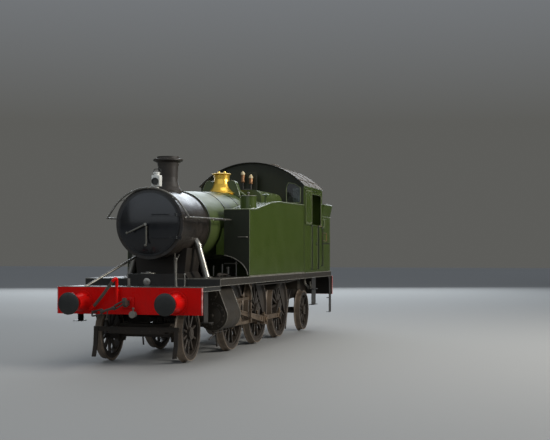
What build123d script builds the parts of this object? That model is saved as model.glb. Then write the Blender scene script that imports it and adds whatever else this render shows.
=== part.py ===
"""Side tank steam locomotive of the 2-6-2 wheel arrangement, standard gauge.

Millimetres. +X is the front, +Y the left side, +Z up. The model is drawn with
z = 0 on top of the rail and lifted by the flange depth when it is written, so
that the tips of the wheel flanges stand on z = 0.
"""

import os
from math import atan2, cos, degrees, radians, sin, sqrt, tan

from build123d import *

os.makedirs("parts", exist_ok=True)

# Track and wheels
FLANGE_DEPTH = 30
WHEEL_BACK = 680
WHEEL_WIDTH = 140
COUPLED_R = 705
CARRYING_R = 482.5

# Wheelbase, front to rear
LEADING_X = 4120
LEADING_TO_COUPLED = 2362
COUPLED_SPACING = 1753
COUPLED_TO_TRAILING = 2311
FRONT_X = LEADING_X - LEADING_TO_COUPLED
DRIVING_X = FRONT_X - COUPLED_SPACING
REAR_X = DRIVING_X - COUPLED_SPACING
TRAILING_X = REAR_X - COUPLED_TO_TRAILING
COUPLED_XS = (FRONT_X, DRIVING_X, REAR_X)

# Cranks, cylinders and rods
THROW = 305
CRANK_LEFT_DEG = -40
CRANK_RIGHT_DEG = CRANK_LEFT_DEG - 90
CYLINDER_Y = 1022
CYLINDER_Z = 769
CYLINDER_REAR_X = 2700
CYLINDER_FRONT_X = 3550
CYLINDER_R = 272
MAIN_ROD_LENGTH = 1905
ROD_INNER_Y = 838
ROD_WIDTH = 64
BIG_END_INNER_Y = 977
BIG_END_WIDTH = 90
PIN_GAP = 6

# Frames and ends
FRAME_INNER_Y = 622
FRAME_THICK = 32
FRAME_OUTER_Y = FRAME_INNER_Y + FRAME_THICK
FRAME_TOP = 1265
BEAM_FACE_X = 5010
BEAM_THICK = 40
BEAM_BACK_X = BEAM_FACE_X - BEAM_THICK
BEAM_TOP = 1320
BEAM_BOTTOM = 855
BUFFER_FACE_X = 5543.5
BUFFER_Y = 870
BUFFER_Z = 1055
BUFFER_HEAD_R = 190
BEAM_HALF = 1335

# Running plate and low front platform
HALF_WIDTH = 1310
PLATE_TOP = 1448
PLATE_THICK = 12
PLATE_BOTTOM = PLATE_TOP - PLATE_THICK
VALANCE_BOTTOM = 1318
VALANCE_THICK = 14
DROP_X = 3950

# Boiler, smokebox and firebox
BOILER_Z = 2440
SMOKEBOX_R = 640
SMOKEBOX_FRONT_X = 4090
SMOKEBOX_REAR_X = 2680
SADDLE_FRONT_X = 3540
BARREL_FRONT_R = 660
BARREL_REAR_R = 735
BARREL_REAR_X = -520
DOOR_R = 588
DOOR_DISH = 95
HINGE_Y = 612
HINGE_X = SMOKEBOX_FRONT_X + 32
FIREBOX_TOP = 3300
FIREBOX_HALF = 740
CHIMNEY_X = 3170
CHIMNEY_TOP = 3720
BONNET_X = -20
BONNET_TOP = 3635

# Tanks, cab and bunker
TANK_FRONT_X = 2100
TANK_INNER_Y = 752
SIDE_Y = 1275
CAB_FRONT_X = -2250
CAB_SHEET = 10
CAB_REAR_X = -4110
DOORWAY_FRONT_X = -2990
DOORWAY_REAR_X = -3570
WINDOW_FRONT_X = -2970
WINDOW_REAR_X = -4020
WAIST_Z = 2577
WINDOW_TOP = 3330
EAVE_Z = 3485
ROOF_TOP = 4050
ROOF_HALF = 1300
FLOOR_Z = 1500
BUNKER_REAR_X = -4990
BUNKER_TOP = 3120
TANK_FLOOR_Z = PLATE_TOP
FILLER_X = 1300
FILLER_Y = 1010
FILLER_R = 165
FILLER_TOP = 3040
LID_THICK = 15

# Leading truck
PIVOT_X = 2500
TRUCK_PLATE_Y = 490
TRUCK_PLATE_THICK = 32
RUNNING_CLEARANCE = 0.5
SLIDING_CLEARANCE = 0.3


def lift(shape):
    """Raise a shape from rail level to flange-tip level."""
    return Pos(0, 0, FLANGE_DEPTH) * shape


def write(name, *shapes):
    """Write one node, made of one or more separate solids."""
    solids = []
    for shape in shapes:
        solids.extend(shape.solids())
    lifted = [lift(solid) for solid in solids]
    export_step(lifted[0] if len(lifted) == 1 else Compound(children=lifted), f"parts/{name}.step")


def bar(x0, x1, y0, y1, z0, z1):
    """Block between pairs of limits."""
    size = (x1 - x0, y1 - y0, z1 - z0)
    return Pos((x0 + x1) / 2, (y0 + y1) / 2, (z0 + z1) / 2) * Box(*size)


def disc(x, z, radius, y0, y1):
    """Cylinder with its axis across the engine."""
    return Pos(x, (y0 + y1) / 2, z) * Rot(90, 0, 0) * Cylinder(radius, y1 - y0)


def barrel(y, z, radius, x0, x1):
    """Cylinder with its axis along the engine."""
    return Pos((x0 + x1) / 2, y, z) * Rot(0, 90, 0) * Cylinder(radius, x1 - x0)


def post(x, y, radius, z0, z1):
    """Upright cylinder."""
    return Pos(x, y, (z0 + z1) / 2) * Cylinder(radius, z1 - z0)


def side_plate(outline, y0, y1):
    """Extrude an outline drawn in X and Z across from y0 to y1."""
    plane = Plane(origin=(0, y1, 0), x_dir=(1, 0, 0), z_dir=(0, -1, 0))
    return extrude(plane * outline, amount=y1 - y0)


def cross_plate(outline, x0, x1):
    """Extrude an outline drawn in Y and Z along from x0 to x1."""
    plane = Plane(origin=(x0, 0, 0), x_dir=(0, 1, 0), z_dir=(1, 0, 0))
    return extrude(plane * outline, amount=x1 - x0)


def outline(*points):
    """Closed straight-sided face through points."""
    return make_face(Polyline(*points, close=True))


def other_side(shape):
    """Mirror a left-hand shape to the right."""
    return mirror(shape, about=Plane.XZ)


def both(shape):
    """Left-hand shape and its mirror image."""
    return shape, other_side(shape)


def pin_place(angle_deg):
    """Crank pin offset from its axle, in X and Z."""
    return THROW * cos(radians(angle_deg)), THROW * sin(radians(angle_deg))


def tube(points, radius, bend):
    """Round bar along straight runs joined by tangent arcs."""
    path = FilletPolyline(*points, radius=bend) if len(points) > 2 else Line(*points)
    start = Plane(origin=path @ 0, z_dir=path % 0)
    return sweep(start * Circle(radius), path=path)


# Wheelsets


def tyre_and_rim(tread_r, tyre, rim):
    """Tyre with flange on a narrower wheel rim, in radius and Y."""
    back = WHEEL_BACK
    face = back + WHEEL_WIDTH
    inner = tread_r - tyre
    rim_inner = inner - rim
    profile = outline(
        (rim_inner, back + 18),
        (inner, back + 18),
        (inner, back),
        (tread_r + 18, back),
        (tread_r + FLANGE_DEPTH, back + 9),
        (tread_r + FLANGE_DEPTH, back + 16),
        (tread_r + 7, back + 32),
        (tread_r + 2, back + 44),
        (tread_r - 3, face),
        (inner, face),
        (inner, face - 16),
        (rim_inner, face - 16),
    )
    return revolve(profile, axis=Axis.Y)


def spoke(hub_r, rim_inner, root, tip, middle_y):
    """Tapered spoke along +X, with sizes across and around."""
    start = hub_r - 25
    end = rim_inner + 6
    sections = []
    for place, (across, around) in ((start, root), (end, tip)):
        plane = Plane(origin=(place, middle_y, 0), x_dir=(0, 1, 0), z_dir=(1, 0, 0))
        sections.append(plane * RectangleRounded(across, around, around * 0.3))
    return loft(sections)


def turned(shape, angle_deg):
    """Turn a shape drawn along +X about the axle to an angle above +X."""
    return Rot(0, -angle_deg, 0) * shape


def coupled_wheel(angle_deg, pin_r, pin_end):
    """Left-hand driving or coupled wheel about the origin."""
    tyre, rim, hub_r, spokes = 76, 44, 135, 14
    rim_inner = COUPLED_R - tyre - rim
    middle = WHEEL_BACK + WHEEL_WIDTH / 2
    hub_face = WHEEL_BACK + WHEEL_WIDTH + 10
    wheel = tyre_and_rim(COUPLED_R, tyre, rim)
    wheel += disc(0, 0, hub_r, WHEEL_BACK - 8, hub_face)
    arm = spoke(hub_r, rim_inner, (70, 56), (54, 40), middle)
    wheel += [turned(arm, angle_deg + (k + 0.5) * 360 / spokes) for k in range(spokes)]
    weight = side_plate(Circle(rim_inner + 6), middle - 45, middle + 45)
    weight -= bar(-290, 900, 0, 900, -900, 900)
    wheel += turned(weight, angle_deg)
    boss = make_hull([*Circle(hub_r).edges(), *(Pos(THROW, 0) * Circle(105)).edges()])
    wheel += turned(side_plate(boss, middle - 20, hub_face), angle_deg)
    x, z = pin_place(angle_deg)
    return wheel + disc(x, z, pin_r, hub_face - 5, pin_end)


def coupled_wheelset(axle_x, pin_r):
    """Two coupled wheels with cranks a quarter turn apart on their axle."""
    pin_end = ROD_INNER_Y + ROD_WIDTH + 6
    left = coupled_wheel(CRANK_LEFT_DEG, pin_r, pin_end)
    right = other_side(coupled_wheel(CRANK_RIGHT_DEG, pin_r, pin_end))
    axle = disc(0, 0, 95, -WHEEL_BACK, WHEEL_BACK)
    return Pos(axle_x, 0, COUPLED_R) * (left + axle + right)


def carrying_wheel():
    """Left-hand leading or trailing wheel about the origin."""
    tyre, rim, hub_r, spokes = 70, 38, 110, 10
    rim_inner = CARRYING_R - tyre - rim
    middle = WHEEL_BACK + WHEEL_WIDTH / 2
    wheel = tyre_and_rim(CARRYING_R, tyre, rim)
    wheel += disc(0, 0, hub_r, WHEEL_BACK - 8, WHEEL_BACK + WHEEL_WIDTH + 6)
    arm = spoke(hub_r, rim_inner, (64, 50), (50, 38), middle)
    wheel += [turned(arm, (k + 0.5) * 360 / spokes) for k in range(spokes)]
    return wheel


def carrying_wheelset(axle_x):
    """Two carrying wheels on their axle."""
    left = carrying_wheel()
    axle = disc(0, 0, 76, -WHEEL_BACK, WHEEL_BACK)
    return Pos(axle_x, 0, CARRYING_R) * (left + axle + other_side(left))


write("leading_wheelset", carrying_wheelset(LEADING_X))
write("trailing_wheelset", carrying_wheelset(TRAILING_X))
write("front_coupled_wheelset", coupled_wheelset(FRONT_X, 52))
write("driving_wheelset", coupled_wheelset(DRIVING_X, 66))
write("rear_coupled_wheelset", coupled_wheelset(REAR_X, 52))

# Rods, crossheads and slide bars


def coupling_rod(angle_deg):
    """Left-hand coupling rod over the three crank pins."""
    dx, dz = pin_place(angle_deg)
    y0, y1 = ROD_INNER_Y, ROD_INNER_Y + ROD_WIDTH
    # pin X, boss radius, bore radius
    bosses = (
        (REAR_X, 88, 52 + RUNNING_CLEARANCE),
        (DRIVING_X, 112, 66 + RUNNING_CLEARANCE),
        (FRONT_X, 88, 52 + RUNNING_CLEARANCE),
    )
    flute = 14
    depth = 96
    rod = bar(REAR_X, FRONT_X, y0 + 8, y1 - 8, -depth / 2, depth / 2)
    for start, end in ((REAR_X, DRIVING_X), (DRIVING_X, FRONT_X)):
        pocket = bar(start + 190, end - 190, y1 - 8 - flute, y1, -depth / 2 + 18, depth / 2 - 18)
        rod -= pocket
    for place, boss_r, _ in bosses:
        rod += disc(place, 0, boss_r, y0, y1)
        rod += bar(place - 26, place + 26, y0 + 12, y1 - 12, boss_r - 20, boss_r + 34)
    for place, _, bore_r in bosses:
        rod -= disc(place, 0, bore_r, y0 - 5, y1 + 5)
    return Pos(dx, 0, COUPLED_R + dz) * rod


def gudgeon_x(angle_deg):
    """Place of the crosshead pin for a crank angle."""
    dx, dz = pin_place(angle_deg)
    drop = CYLINDER_Z - (COUPLED_R + dz)
    return DRIVING_X + dx + sqrt(MAIN_ROD_LENGTH**2 - drop**2)


BAR_GAP = 205
BAR_DEPTH = 50
BAR_Y0 = CYLINDER_Y - 50
BAR_Y1 = CYLINDER_Y + 50
CHEEK_INNER = 34
CHEEK_OUTER = 62


def crosshead(angle_deg):
    """Left-hand crosshead with slippers, gudgeon pin and piston rod."""
    reach = BAR_GAP - SLIDING_CLEARANCE
    cheek = outline(
        (-150, reach),
        (-150, reach - 45),
        (-60, 75),
        (-85, 0),
        (-60, -75),
        (-150, -reach + 45),
        (-150, -reach),
        (150, -reach),
        (150, -reach + 45),
        (100, -75),
        (165, -60),
        (165, 60),
        (100, 75),
        (150, reach - 45),
        (150, reach),
    )
    head = side_plate(cheek, CYLINDER_Y - CHEEK_OUTER, CYLINDER_Y + CHEEK_OUTER)
    slot = bar(-200, 95, CYLINDER_Y - CHEEK_INNER, CYLINDER_Y + CHEEK_INNER, -160, 160)
    head -= slot
    head += disc(0, 0, 36, CYLINDER_Y - CHEEK_OUTER - 12, CYLINDER_Y + CHEEK_OUTER + 12)
    head += barrel(CYLINDER_Y, 0, 52, 160, 230)
    head += barrel(CYLINDER_Y, 0, 33, 225, 1120)
    return Pos(gudgeon_x(angle_deg), 0, CYLINDER_Z) * head


def connecting_rod(angle_deg):
    """Left-hand connecting rod from the gudgeon pin to the crank pin cap."""
    dx, dz = pin_place(angle_deg)
    small_x = gudgeon_x(angle_deg)
    big_x, big_z = DRIVING_X + dx, COUPLED_R + dz
    tilt = degrees(atan2(CYLINDER_Z - big_z, small_x - big_x))
    y0, y1 = CYLINDER_Y - 30, CYLINDER_Y + 30
    length = MAIN_ROD_LENGTH
    shank = outline((0, 40), (0, -40), (-length, -62), (-length, 62))
    rod = side_plate(shank, y0 + 2, y1 - 2)
    flute = outline((-170, 20), (-170, -20), (-length + 230, -36), (-length + 230, 36))
    rod -= side_plate(flute, y1 - 16, y1)
    rod -= side_plate(flute, y0, y0 + 16)
    rod += disc(0, 0, 68, y0, y1)
    rod -= disc(0, 0, 36 + RUNNING_CLEARANCE, y0 - 5, y1 + 5)
    big = bar(-length - 92, -length + 120, BIG_END_INNER_Y, BIG_END_INNER_Y + BIG_END_WIDTH, -98, 98)
    rod += big
    pin_start = ROD_INNER_Y + ROD_WIDTH + 6 + PIN_GAP
    rod += disc(-length, 0, 62, pin_start, BIG_END_INNER_Y + BIG_END_WIDTH + 20)
    return Pos(small_x, 0, CYLINDER_Z) * Rot(0, -tilt, 0) * rod


def slide_bars():
    """Left-hand pair of slide bars with the bracket that hangs their rear end."""
    rear, front = 1370, CYLINDER_REAR_X
    bars = None
    for low in (BAR_GAP, -BAR_GAP - BAR_DEPTH):
        one = bar(rear, front, BAR_Y0, BAR_Y1, CYLINDER_Z + low, CYLINDER_Z + low + BAR_DEPTH)
        bars = one if bars is None else bars + one
    hanger = bar(rear, rear + 70, BAR_Y1, BAR_Y1 + 30, CYLINDER_Z - BAR_GAP - BAR_DEPTH, PLATE_BOTTOM)
    bracket = bar(2530, 2565, FRAME_OUTER_Y, BAR_Y1 + 30, 640, 1180)
    bracket -= bar(2500, 2600, 900, 1200, CYLINDER_Z - 60, CYLINDER_Z + 60)
    bracket -= bar(2500, 2600, 950, 1200, CYLINDER_Z - 200, CYLINDER_Z + 200)
    foot = bar(rear, rear + 70, BAR_Y1 - 20, BAR_Y1 + 5, CYLINDER_Z + BAR_GAP, CYLINDER_Z + BAR_GAP + BAR_DEPTH)
    return bars + hanger + bracket + foot


write("coupling_rod_left", coupling_rod(CRANK_LEFT_DEG))
write("coupling_rod_right", other_side(coupling_rod(CRANK_RIGHT_DEG)))
write("crosshead_left", crosshead(CRANK_LEFT_DEG))
write("crosshead_right", other_side(crosshead(CRANK_RIGHT_DEG)))
write("connecting_rod_left", connecting_rod(CRANK_LEFT_DEG))
write("connecting_rod_right", other_side(connecting_rod(CRANK_RIGHT_DEG)))
write("slide_bars", *both(slide_bars()))

# Cylinders, saddle and steam pipes


def cylinder():
    """Left-hand cylinder with its valve chest, covers and frame flange."""
    lower = Pos(CYLINDER_Y, CYLINDER_Z) * Circle(CYLINDER_R)
    upper = Pos(CYLINDER_Y - 22, 1160) * Circle(150)
    section = make_hull([*lower.edges(), *upper.edges()])
    casting = cross_plate(section, CYLINDER_REAR_X + 25, CYLINDER_FRONT_X)
    casting += bar(CYLINDER_REAR_X + 90, CYLINDER_FRONT_X - 90, FRAME_OUTER_Y, CYLINDER_Y, 640, 1240)
    casting += barrel(CYLINDER_Y, CYLINDER_Z, 238, CYLINDER_REAR_X, CYLINDER_REAR_X + 30)
    casting += barrel(CYLINDER_Y, CYLINDER_Z, 238, CYLINDER_FRONT_X - 5, CYLINDER_FRONT_X + 24)
    casting += barrel(CYLINDER_Y, CYLINDER_Z, 78, CYLINDER_REAR_X - 70, CYLINDER_REAR_X + 5)
    casting += barrel(CYLINDER_Y - 22, 1160, 112, CYLINDER_REAR_X - 5, CYLINDER_REAR_X + 30)
    casting += barrel(CYLINDER_Y - 22, 1160, 112, CYLINDER_FRONT_X - 5, CYLINDER_FRONT_X + 30)
    casting -= barrel(CYLINDER_Y, CYLINDER_Z, 33 + 2, CYLINDER_REAR_X - 80, CYLINDER_FRONT_X - 60)
    casting -= bar(2000, 4000, 900, 1400, VALANCE_BOTTOM - 8, 1500)
    return casting


def saddle():
    """Saddle under the smokebox, cast between the frames."""
    side = (
        (FRAME_INNER_Y, 900),
        (FRAME_INNER_Y, 1300),
        (470, 1560),
        (520, 2000),
    )
    points = [*side, *[(-y, z) for y, z in reversed(side)]]
    block = cross_plate(outline(*points), 2800, SADDLE_FRONT_X)
    return block - barrel(0, BOILER_Z, SMOKEBOX_R, 2500, 4000)


STEAM_PIPE_R = 63
STEAM_PIPE_ROUTE = ((3170, 470, 2250), (3170, 590, 2080), (3170, 820, 1290))


def steam_pipe():
    """Left-hand outside steam pipe from smokebox to valve chest."""
    pipe = tube(STEAM_PIPE_ROUTE, STEAM_PIPE_R, 120)
    pipe -= barrel(0, BOILER_Z, SMOKEBOX_R, SMOKEBOX_REAR_X, SMOKEBOX_FRONT_X)
    pipe -= cylinder()
    return max(pipe.solids(), key=lambda solid: solid.volume)


write("cylinders", *both(cylinder()))
write("saddle", saddle())
write("steam_pipes", *both(steam_pipe()))

# Frames


def frame_plate():
    """Left-hand frame plate with horn gaps and the cut above the leading wheels."""
    rear, front = -BEAM_BACK_X, BEAM_BACK_X
    low, mid, horn = 560, 700, 420
    points = [(rear, FRAME_TOP), (front, FRAME_TOP), (front, 870), (LEADING_X + 580, 870)]
    points += [(LEADING_X + 480, 1060), (LEADING_X - 480, 1060), (CYLINDER_FRONT_X, 870)]
    points += [(CYLINDER_FRONT_X, low), (FRONT_X + 620, low)]
    for x in COUPLED_XS:
        points += [(x + 330, mid), (x + 250, horn), (x - 250, horn), (x - 330, mid)]
    points += [(TRAILING_X + 620, 800), (TRAILING_X + 240, 800), (TRAILING_X + 200, 330)]
    points += [(TRAILING_X - 200, 330), (TRAILING_X - 240, 800), (rear, 860)]
    plate = side_plate(outline(*points), FRAME_INNER_Y, FRAME_OUTER_Y)
    for x in COUPLED_XS:
        plate -= bar(x - 130, x + 130, 500, 700, 300, COUPLED_R + 190)
    plate -= bar(TRAILING_X - 110, TRAILING_X + 110, 500, 700, 300, CARRYING_R + 170)
    return plate


def stretchers():
    """Cross members between the frames, front to rear."""
    # rear X, front X, bottom Z, top Z
    table = (
        (4800, BEAM_BACK_X, 1000, 1040),
        (4090, 4150, 1060, 1240),
        (2560, 2600, 700, 1240),
        (2420, 2558, 660, 720),
        (860, 890, 760, 1240),
        (-2700, -2670, 760, 1240),
        (-4900, -4600, 900, 1240),
    )
    blocks = [bar(x0, x1, -FRAME_INNER_Y, FRAME_INNER_Y, z0, z1) for x0, x1, z0, z1 in table]
    pivot = post(PIVOT_X, 0, 45, 400, 662)
    blocks[2] = blocks[2] + blocks[3] + pivot
    del blocks[3]
    return blocks


def axlebox(x, z, half, axle_r, low, high):
    """Left-hand axlebox in its horn gap."""
    box = bar(x - half, x + half, FRAME_INNER_Y - 40, FRAME_OUTER_Y + 8, low, high)
    return box - disc(x, z, axle_r + RUNNING_CLEARANCE, 500, 700)


def axleboxes():
    """Axleboxes of the coupled and trailing wheels, left and right."""
    boxes = []
    for x in COUPLED_XS:
        boxes.extend(both(axlebox(x, COUPLED_R, 130, 95, COUPLED_R - 150, COUPLED_R + 150)))
    boxes.extend(both(axlebox(TRAILING_X, CARRYING_R, 110, 76, CARRYING_R - 120, CARRYING_R + 130)))
    return boxes


write("frame_plates", *both(frame_plate()))
write("frame_stretchers", *stretchers())
write("axleboxes", *axleboxes())

# Leading truck


def truck_frame():
    """Leading truck with its side plates, cross pieces, radius arms and guard irons."""
    y0 = TRUCK_PLATE_Y
    y1 = TRUCK_PLATE_Y + TRUCK_PLATE_THICK
    side = outline(
        (LEADING_X - 560, 620),
        (LEADING_X + 560, 620),
        (LEADING_X + 560, 500),
        (LEADING_X + 180, 500),
        (LEADING_X + 130, 330),
        (LEADING_X - 130, 330),
        (LEADING_X - 180, 500),
        (LEADING_X - 560, 500),
    )
    plate = side_plate(side, y0, y1)
    box = bar(LEADING_X - 110, LEADING_X + 110, y0 - 20, WHEEL_BACK - 14, 370, 600)
    half = plate + box
    half += bar(LEADING_X + 530, LEADING_X + 560, y1 - 5, 800, 540, 620)
    iron = outline(
        (LEADING_X + 555, 620),
        (LEADING_X + 575, 620),
        (LEADING_X + 600, 300),
        (LEADING_X + 665, 95),
        (LEADING_X + 640, 95),
        (LEADING_X + 575, 290),
        (LEADING_X + 555, 400),
    )
    half += side_plate(iron, 715, 790)
    arm = loft(
        [
            Plane(origin=(LEADING_X - 555, 400, 540), x_dir=(0, 1, 0), z_dir=(1, 0, 0)) * Rectangle(60, 90),
            Plane(origin=(PIVOT_X + 60, 60, 475), x_dir=(0, 1, 0), z_dir=(1, 0, 0)) * Rectangle(60, 90),
        ]
    )
    half += arm
    frame = half + other_side(half)
    for x in (LEADING_X - 560, LEADING_X + 520):
        frame += bar(x, x + 40, -y0 - 5, y0 + 5, 500, 620)
    frame += bar(LEADING_X - 200, LEADING_X + 200, -y0 - 5, y0 + 5, 605, 650)
    frame += post(PIVOT_X, 0, 105, 430, 520)
    frame -= post(PIVOT_X, 0, 45 + RUNNING_CLEARANCE, 380, 600)
    frame -= disc(LEADING_X, CARRYING_R, 76 + RUNNING_CLEARANCE, -700, 700)
    return frame


write("leading_truck", truck_frame())

# Ends


def beam(face_x):
    """Buffer beam with its outer face at face_x."""
    back = face_x - BEAM_THICK if face_x > 0 else face_x + BEAM_THICK
    low, high = min(back, face_x), max(back, face_x)
    return bar(low, high, -BEAM_HALF, BEAM_HALF, BEAM_BOTTOM, BEAM_TOP)


def buffer():
    """Front left buffer: base, tapered stock, ram and head."""
    start = BEAM_FACE_X
    profile = outline(
        (start, 0),
        (start, 205),
        (start + 22, 205),
        (start + 22, 165),
        (start + 285, 118),
        (start + 300, 118),
        (start + 300, 75),
        (BUFFER_FACE_X - 45, 75),
        (BUFFER_FACE_X - 32, BUFFER_HEAD_R),
        (BUFFER_FACE_X - 14, BUFFER_HEAD_R),
        (BUFFER_FACE_X, 120),
        (BUFFER_FACE_X, 0),
    )
    return Pos(0, BUFFER_Y, BUFFER_Z) * revolve(profile, axis=Axis.X)


def to_rear(shape):
    """Copy a front end piece to the rear end."""
    return mirror(shape, about=Plane.YZ)


def drawhook():
    """Front drawhook with its plate."""
    hook = outline(
        (BEAM_FACE_X, 1020),
        (BEAM_FACE_X, 1090),
        (BEAM_FACE_X + 110, 1085),
        (BEAM_FACE_X + 140, 1140),
        (BEAM_FACE_X + 185, 1145),
        (BEAM_FACE_X + 205, 1090),
        (BEAM_FACE_X + 190, 1020),
        (BEAM_FACE_X + 130, 985),
        (BEAM_FACE_X + 60, 1010),
    )
    piece = side_plate(hook, -30, 30)
    piece += bar(BEAM_FACE_X, BEAM_FACE_X + 20, -110, 110, 960, 1150)
    return piece


HOSE_R = 27
HOSE_ROUTE = ((5151, -236, 1422), (5153, -346, 1273), (5142, -468, 1125), (5120, -590, 1000))
STANDPIPE_Y = -185


def along(start, end, length):
    """Point at a length beyond end on the line from start."""
    step_on = (Vector(*end) - Vector(*start)).normalized() * length
    return tuple(Vector(*end) + step_on)


def vacuum_pipe():
    """Front vacuum standpipe, bent over at the top to where its hose hangs."""
    x = BEAM_FACE_X + 75
    bend_over = along(HOSE_ROUTE[1], HOSE_ROUTE[0], 60)
    upright = ((BEAM_FACE_X, STANDPIPE_Y, 1030), (x, STANDPIPE_Y, 1030), (x, STANDPIPE_Y, bend_over[2]))
    stand = tube((*upright, bend_over, HOSE_ROUTE[0]), HOSE_R, 34)
    clip = bar(BEAM_FACE_X, x - 15, STANDPIPE_Y - 20, STANDPIPE_Y + 20, 1250, 1290)
    return stand + clip


def hose_rest():
    """Blanking plug on the front beam, with the hose's coupling head on it."""
    end = HOSE_ROUTE[-1]
    axis = Vector(*end) - Vector(*HOSE_ROUTE[-2])
    head = extrude(Plane(origin=end, z_dir=axis) * Circle(40), amount=80)
    x, y, z = along(HOSE_ROUTE[-2], end, 70)
    bracket = bar(BEAM_FACE_X, x + 25, y - 35, y + 35, z - 30, z - 10)
    return head + bracket


def vacuum_hose():
    """Rubber hose hanging from the standpipe to the plug."""
    points = [Vector(*point) for point in HOSE_ROUTE]
    radii = []
    for before, corner, after in zip(points, points[1:], points[2:]):
        turn = (corner - before).get_angle(after - corner)
        run = min((corner - before).length, (after - corner).length)
        radii.append(0.45 * run / tan(radians(turn / 2)))
    print("hose bend radii", [round(radius) for radius in radii])
    path = FilletPolyline(*HOSE_ROUTE, radius=radii)
    return sweep(Plane(origin=path @ 0, z_dir=path % 0) * Circle(HOSE_R), path=path)


write("buffer_beam_front", beam(BEAM_FACE_X))
write("buffer_beam_rear", beam(-BEAM_FACE_X))
fronts = both(buffer())
write("buffers", *fronts, *[to_rear(one) for one in fronts])
write("drawgear", drawhook(), to_rear(drawhook()))
fittings = (vacuum_pipe(), hose_rest())
write("vacuum_pipes", *fittings, *[to_rear(one) for one in fittings])
write("vacuum_hose_front", vacuum_hose())
write("vacuum_hose_rear", to_rear(vacuum_hose()))

# Running plate and front platform


def running_plate():
    """Left-hand running plate with its valance and wheel slots."""
    rear, front = -BEAM_BACK_X, DROP_X
    plate = bar(rear, front, FRAME_INNER_Y, HALF_WIDTH, PLATE_BOTTOM, PLATE_TOP)
    plate += bar(rear, front, HALF_WIDTH - VALANCE_THICK, HALF_WIDTH, VALANCE_BOTTOM, PLATE_BOTTOM)
    plate += bar(rear, front, FRAME_OUTER_Y, FRAME_OUTER_Y + 12, FRAME_TOP, PLATE_BOTTOM)
    for x in COUPLED_XS:
        plate -= bar(x - 230, x + 230, WHEEL_BACK - 24, WHEEL_BACK + WHEEL_WIDTH + 20, FRAME_TOP - 10, PLATE_TOP + 5)
    plate -= tube(STEAM_PIPE_ROUTE[1:], STEAM_PIPE_R + 6, 120)
    return plate


CASING_HALF = 455
CASING_TOP = 1530


def front_platform():
    """Low platform behind the front beam, the plate that drops to it and the casing to the saddle."""
    platform = bar(DROP_X, BEAM_BACK_X, -HALF_WIDTH, HALF_WIDTH, BEAM_TOP - 12, BEAM_TOP)
    platform += bar(DROP_X, DROP_X + 12, -HALF_WIDTH, HALF_WIDTH, BEAM_TOP - 5, PLATE_TOP)
    platform += bar(DROP_X + 10, BEAM_BACK_X, HALF_WIDTH - 14, HALF_WIDTH, 1240, BEAM_TOP - 5)
    platform += bar(DROP_X + 10, BEAM_BACK_X, -HALF_WIDTH, -HALF_WIDTH + 14, 1240, BEAM_TOP - 5)
    platform += bar(SADDLE_FRONT_X, DROP_X + 25, -CASING_HALF, CASING_HALF, BEAM_TOP - 20, CASING_TOP)
    return platform


write("running_plates", *both(running_plate()))
write("front_platform", front_platform())

# Smokebox, boiler and firebox


# height, inner edge of the lugs
STRAPS = ((BOILER_Z - 257, HINGE_Y - 50), (BOILER_Z + 154, HINGE_Y - 15))
STRAP_HALF = 28
EYE_HALF = 24
LUG_THICK = 14
HINGE_PIN_R = 8.5
DISH_R = 560
RING_PROUD = 4
FRONT_PLATE_X = SMOKEBOX_FRONT_X - 30
DOOR_SEAT = 22
DISH_SPHERE_R = (DISH_R**2 + DOOR_DISH**2) / (2 * DOOR_DISH)
DOOR_BACK_X = SMOKEBOX_FRONT_X + 2
DOOR_THICK = 14
DISH_CENTRE_X = DOOR_BACK_X + DOOR_THICK + DOOR_DISH - DISH_SPHERE_R


def smokebox():
    """Hollow smokebox wrapper with its tube plate and the hole under the chimney."""
    shell = barrel(0, BOILER_Z, SMOKEBOX_R, SMOKEBOX_REAR_X, FRONT_PLATE_X)
    shell -= barrel(0, BOILER_Z, SMOKEBOX_R - 14, SMOKEBOX_REAR_X + 40, FRONT_PLATE_X + 10)
    return shell - post(CHIMNEY_X, 0, 140, BOILER_Z, BOILER_Z + 900)


def smokebox_front():
    """Front plate ring round the door, with the door's hinge lugs."""
    ring = barrel(0, BOILER_Z, SMOKEBOX_R + RING_PROUD, FRONT_PLATE_X, SMOKEBOX_FRONT_X)
    ring -= barrel(0, BOILER_Z, DOOR_R - DOOR_SEAT, FRONT_PLATE_X - 10, SMOKEBOX_FRONT_X + 10)
    for z, inner in STRAPS:
        for low in (z - EYE_HALF - 1 - LUG_THICK, z + EYE_HALF + 1):
            ring += bar(SMOKEBOX_FRONT_X - 5, HINGE_X + 15, inner, HINGE_Y + 15, low, low + LUG_THICK)
        ring -= post(HINGE_X, HINGE_Y, HINGE_PIN_R + RUNNING_CLEARANCE, z - 60, z + 60)
    return ring


def dish(low, high, reach):
    """Dished shell between two offsets from the door's outer surface."""
    profile = []
    for offset in (low, high):
        radius = DISH_SPHERE_R + offset
        profile.append([DISH_CENTRE_X + sqrt(radius**2 - r**2) for r in (0, reach / 2, reach)])
    inner, outer = profile
    with BuildLine() as edge:
        ThreePointArc((inner[0], 0), (inner[1], reach / 2), (inner[2], reach))
        Line((inner[2], reach), (outer[2], reach))
        ThreePointArc((outer[2], reach), (outer[1], reach / 2), (outer[0], 0))
        Line((outer[0], 0), (inner[0], 0))
    shell = revolve(make_face(edge.line), axis=Axis.X)
    return Pos(0, 0, BOILER_Z) * shell


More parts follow.
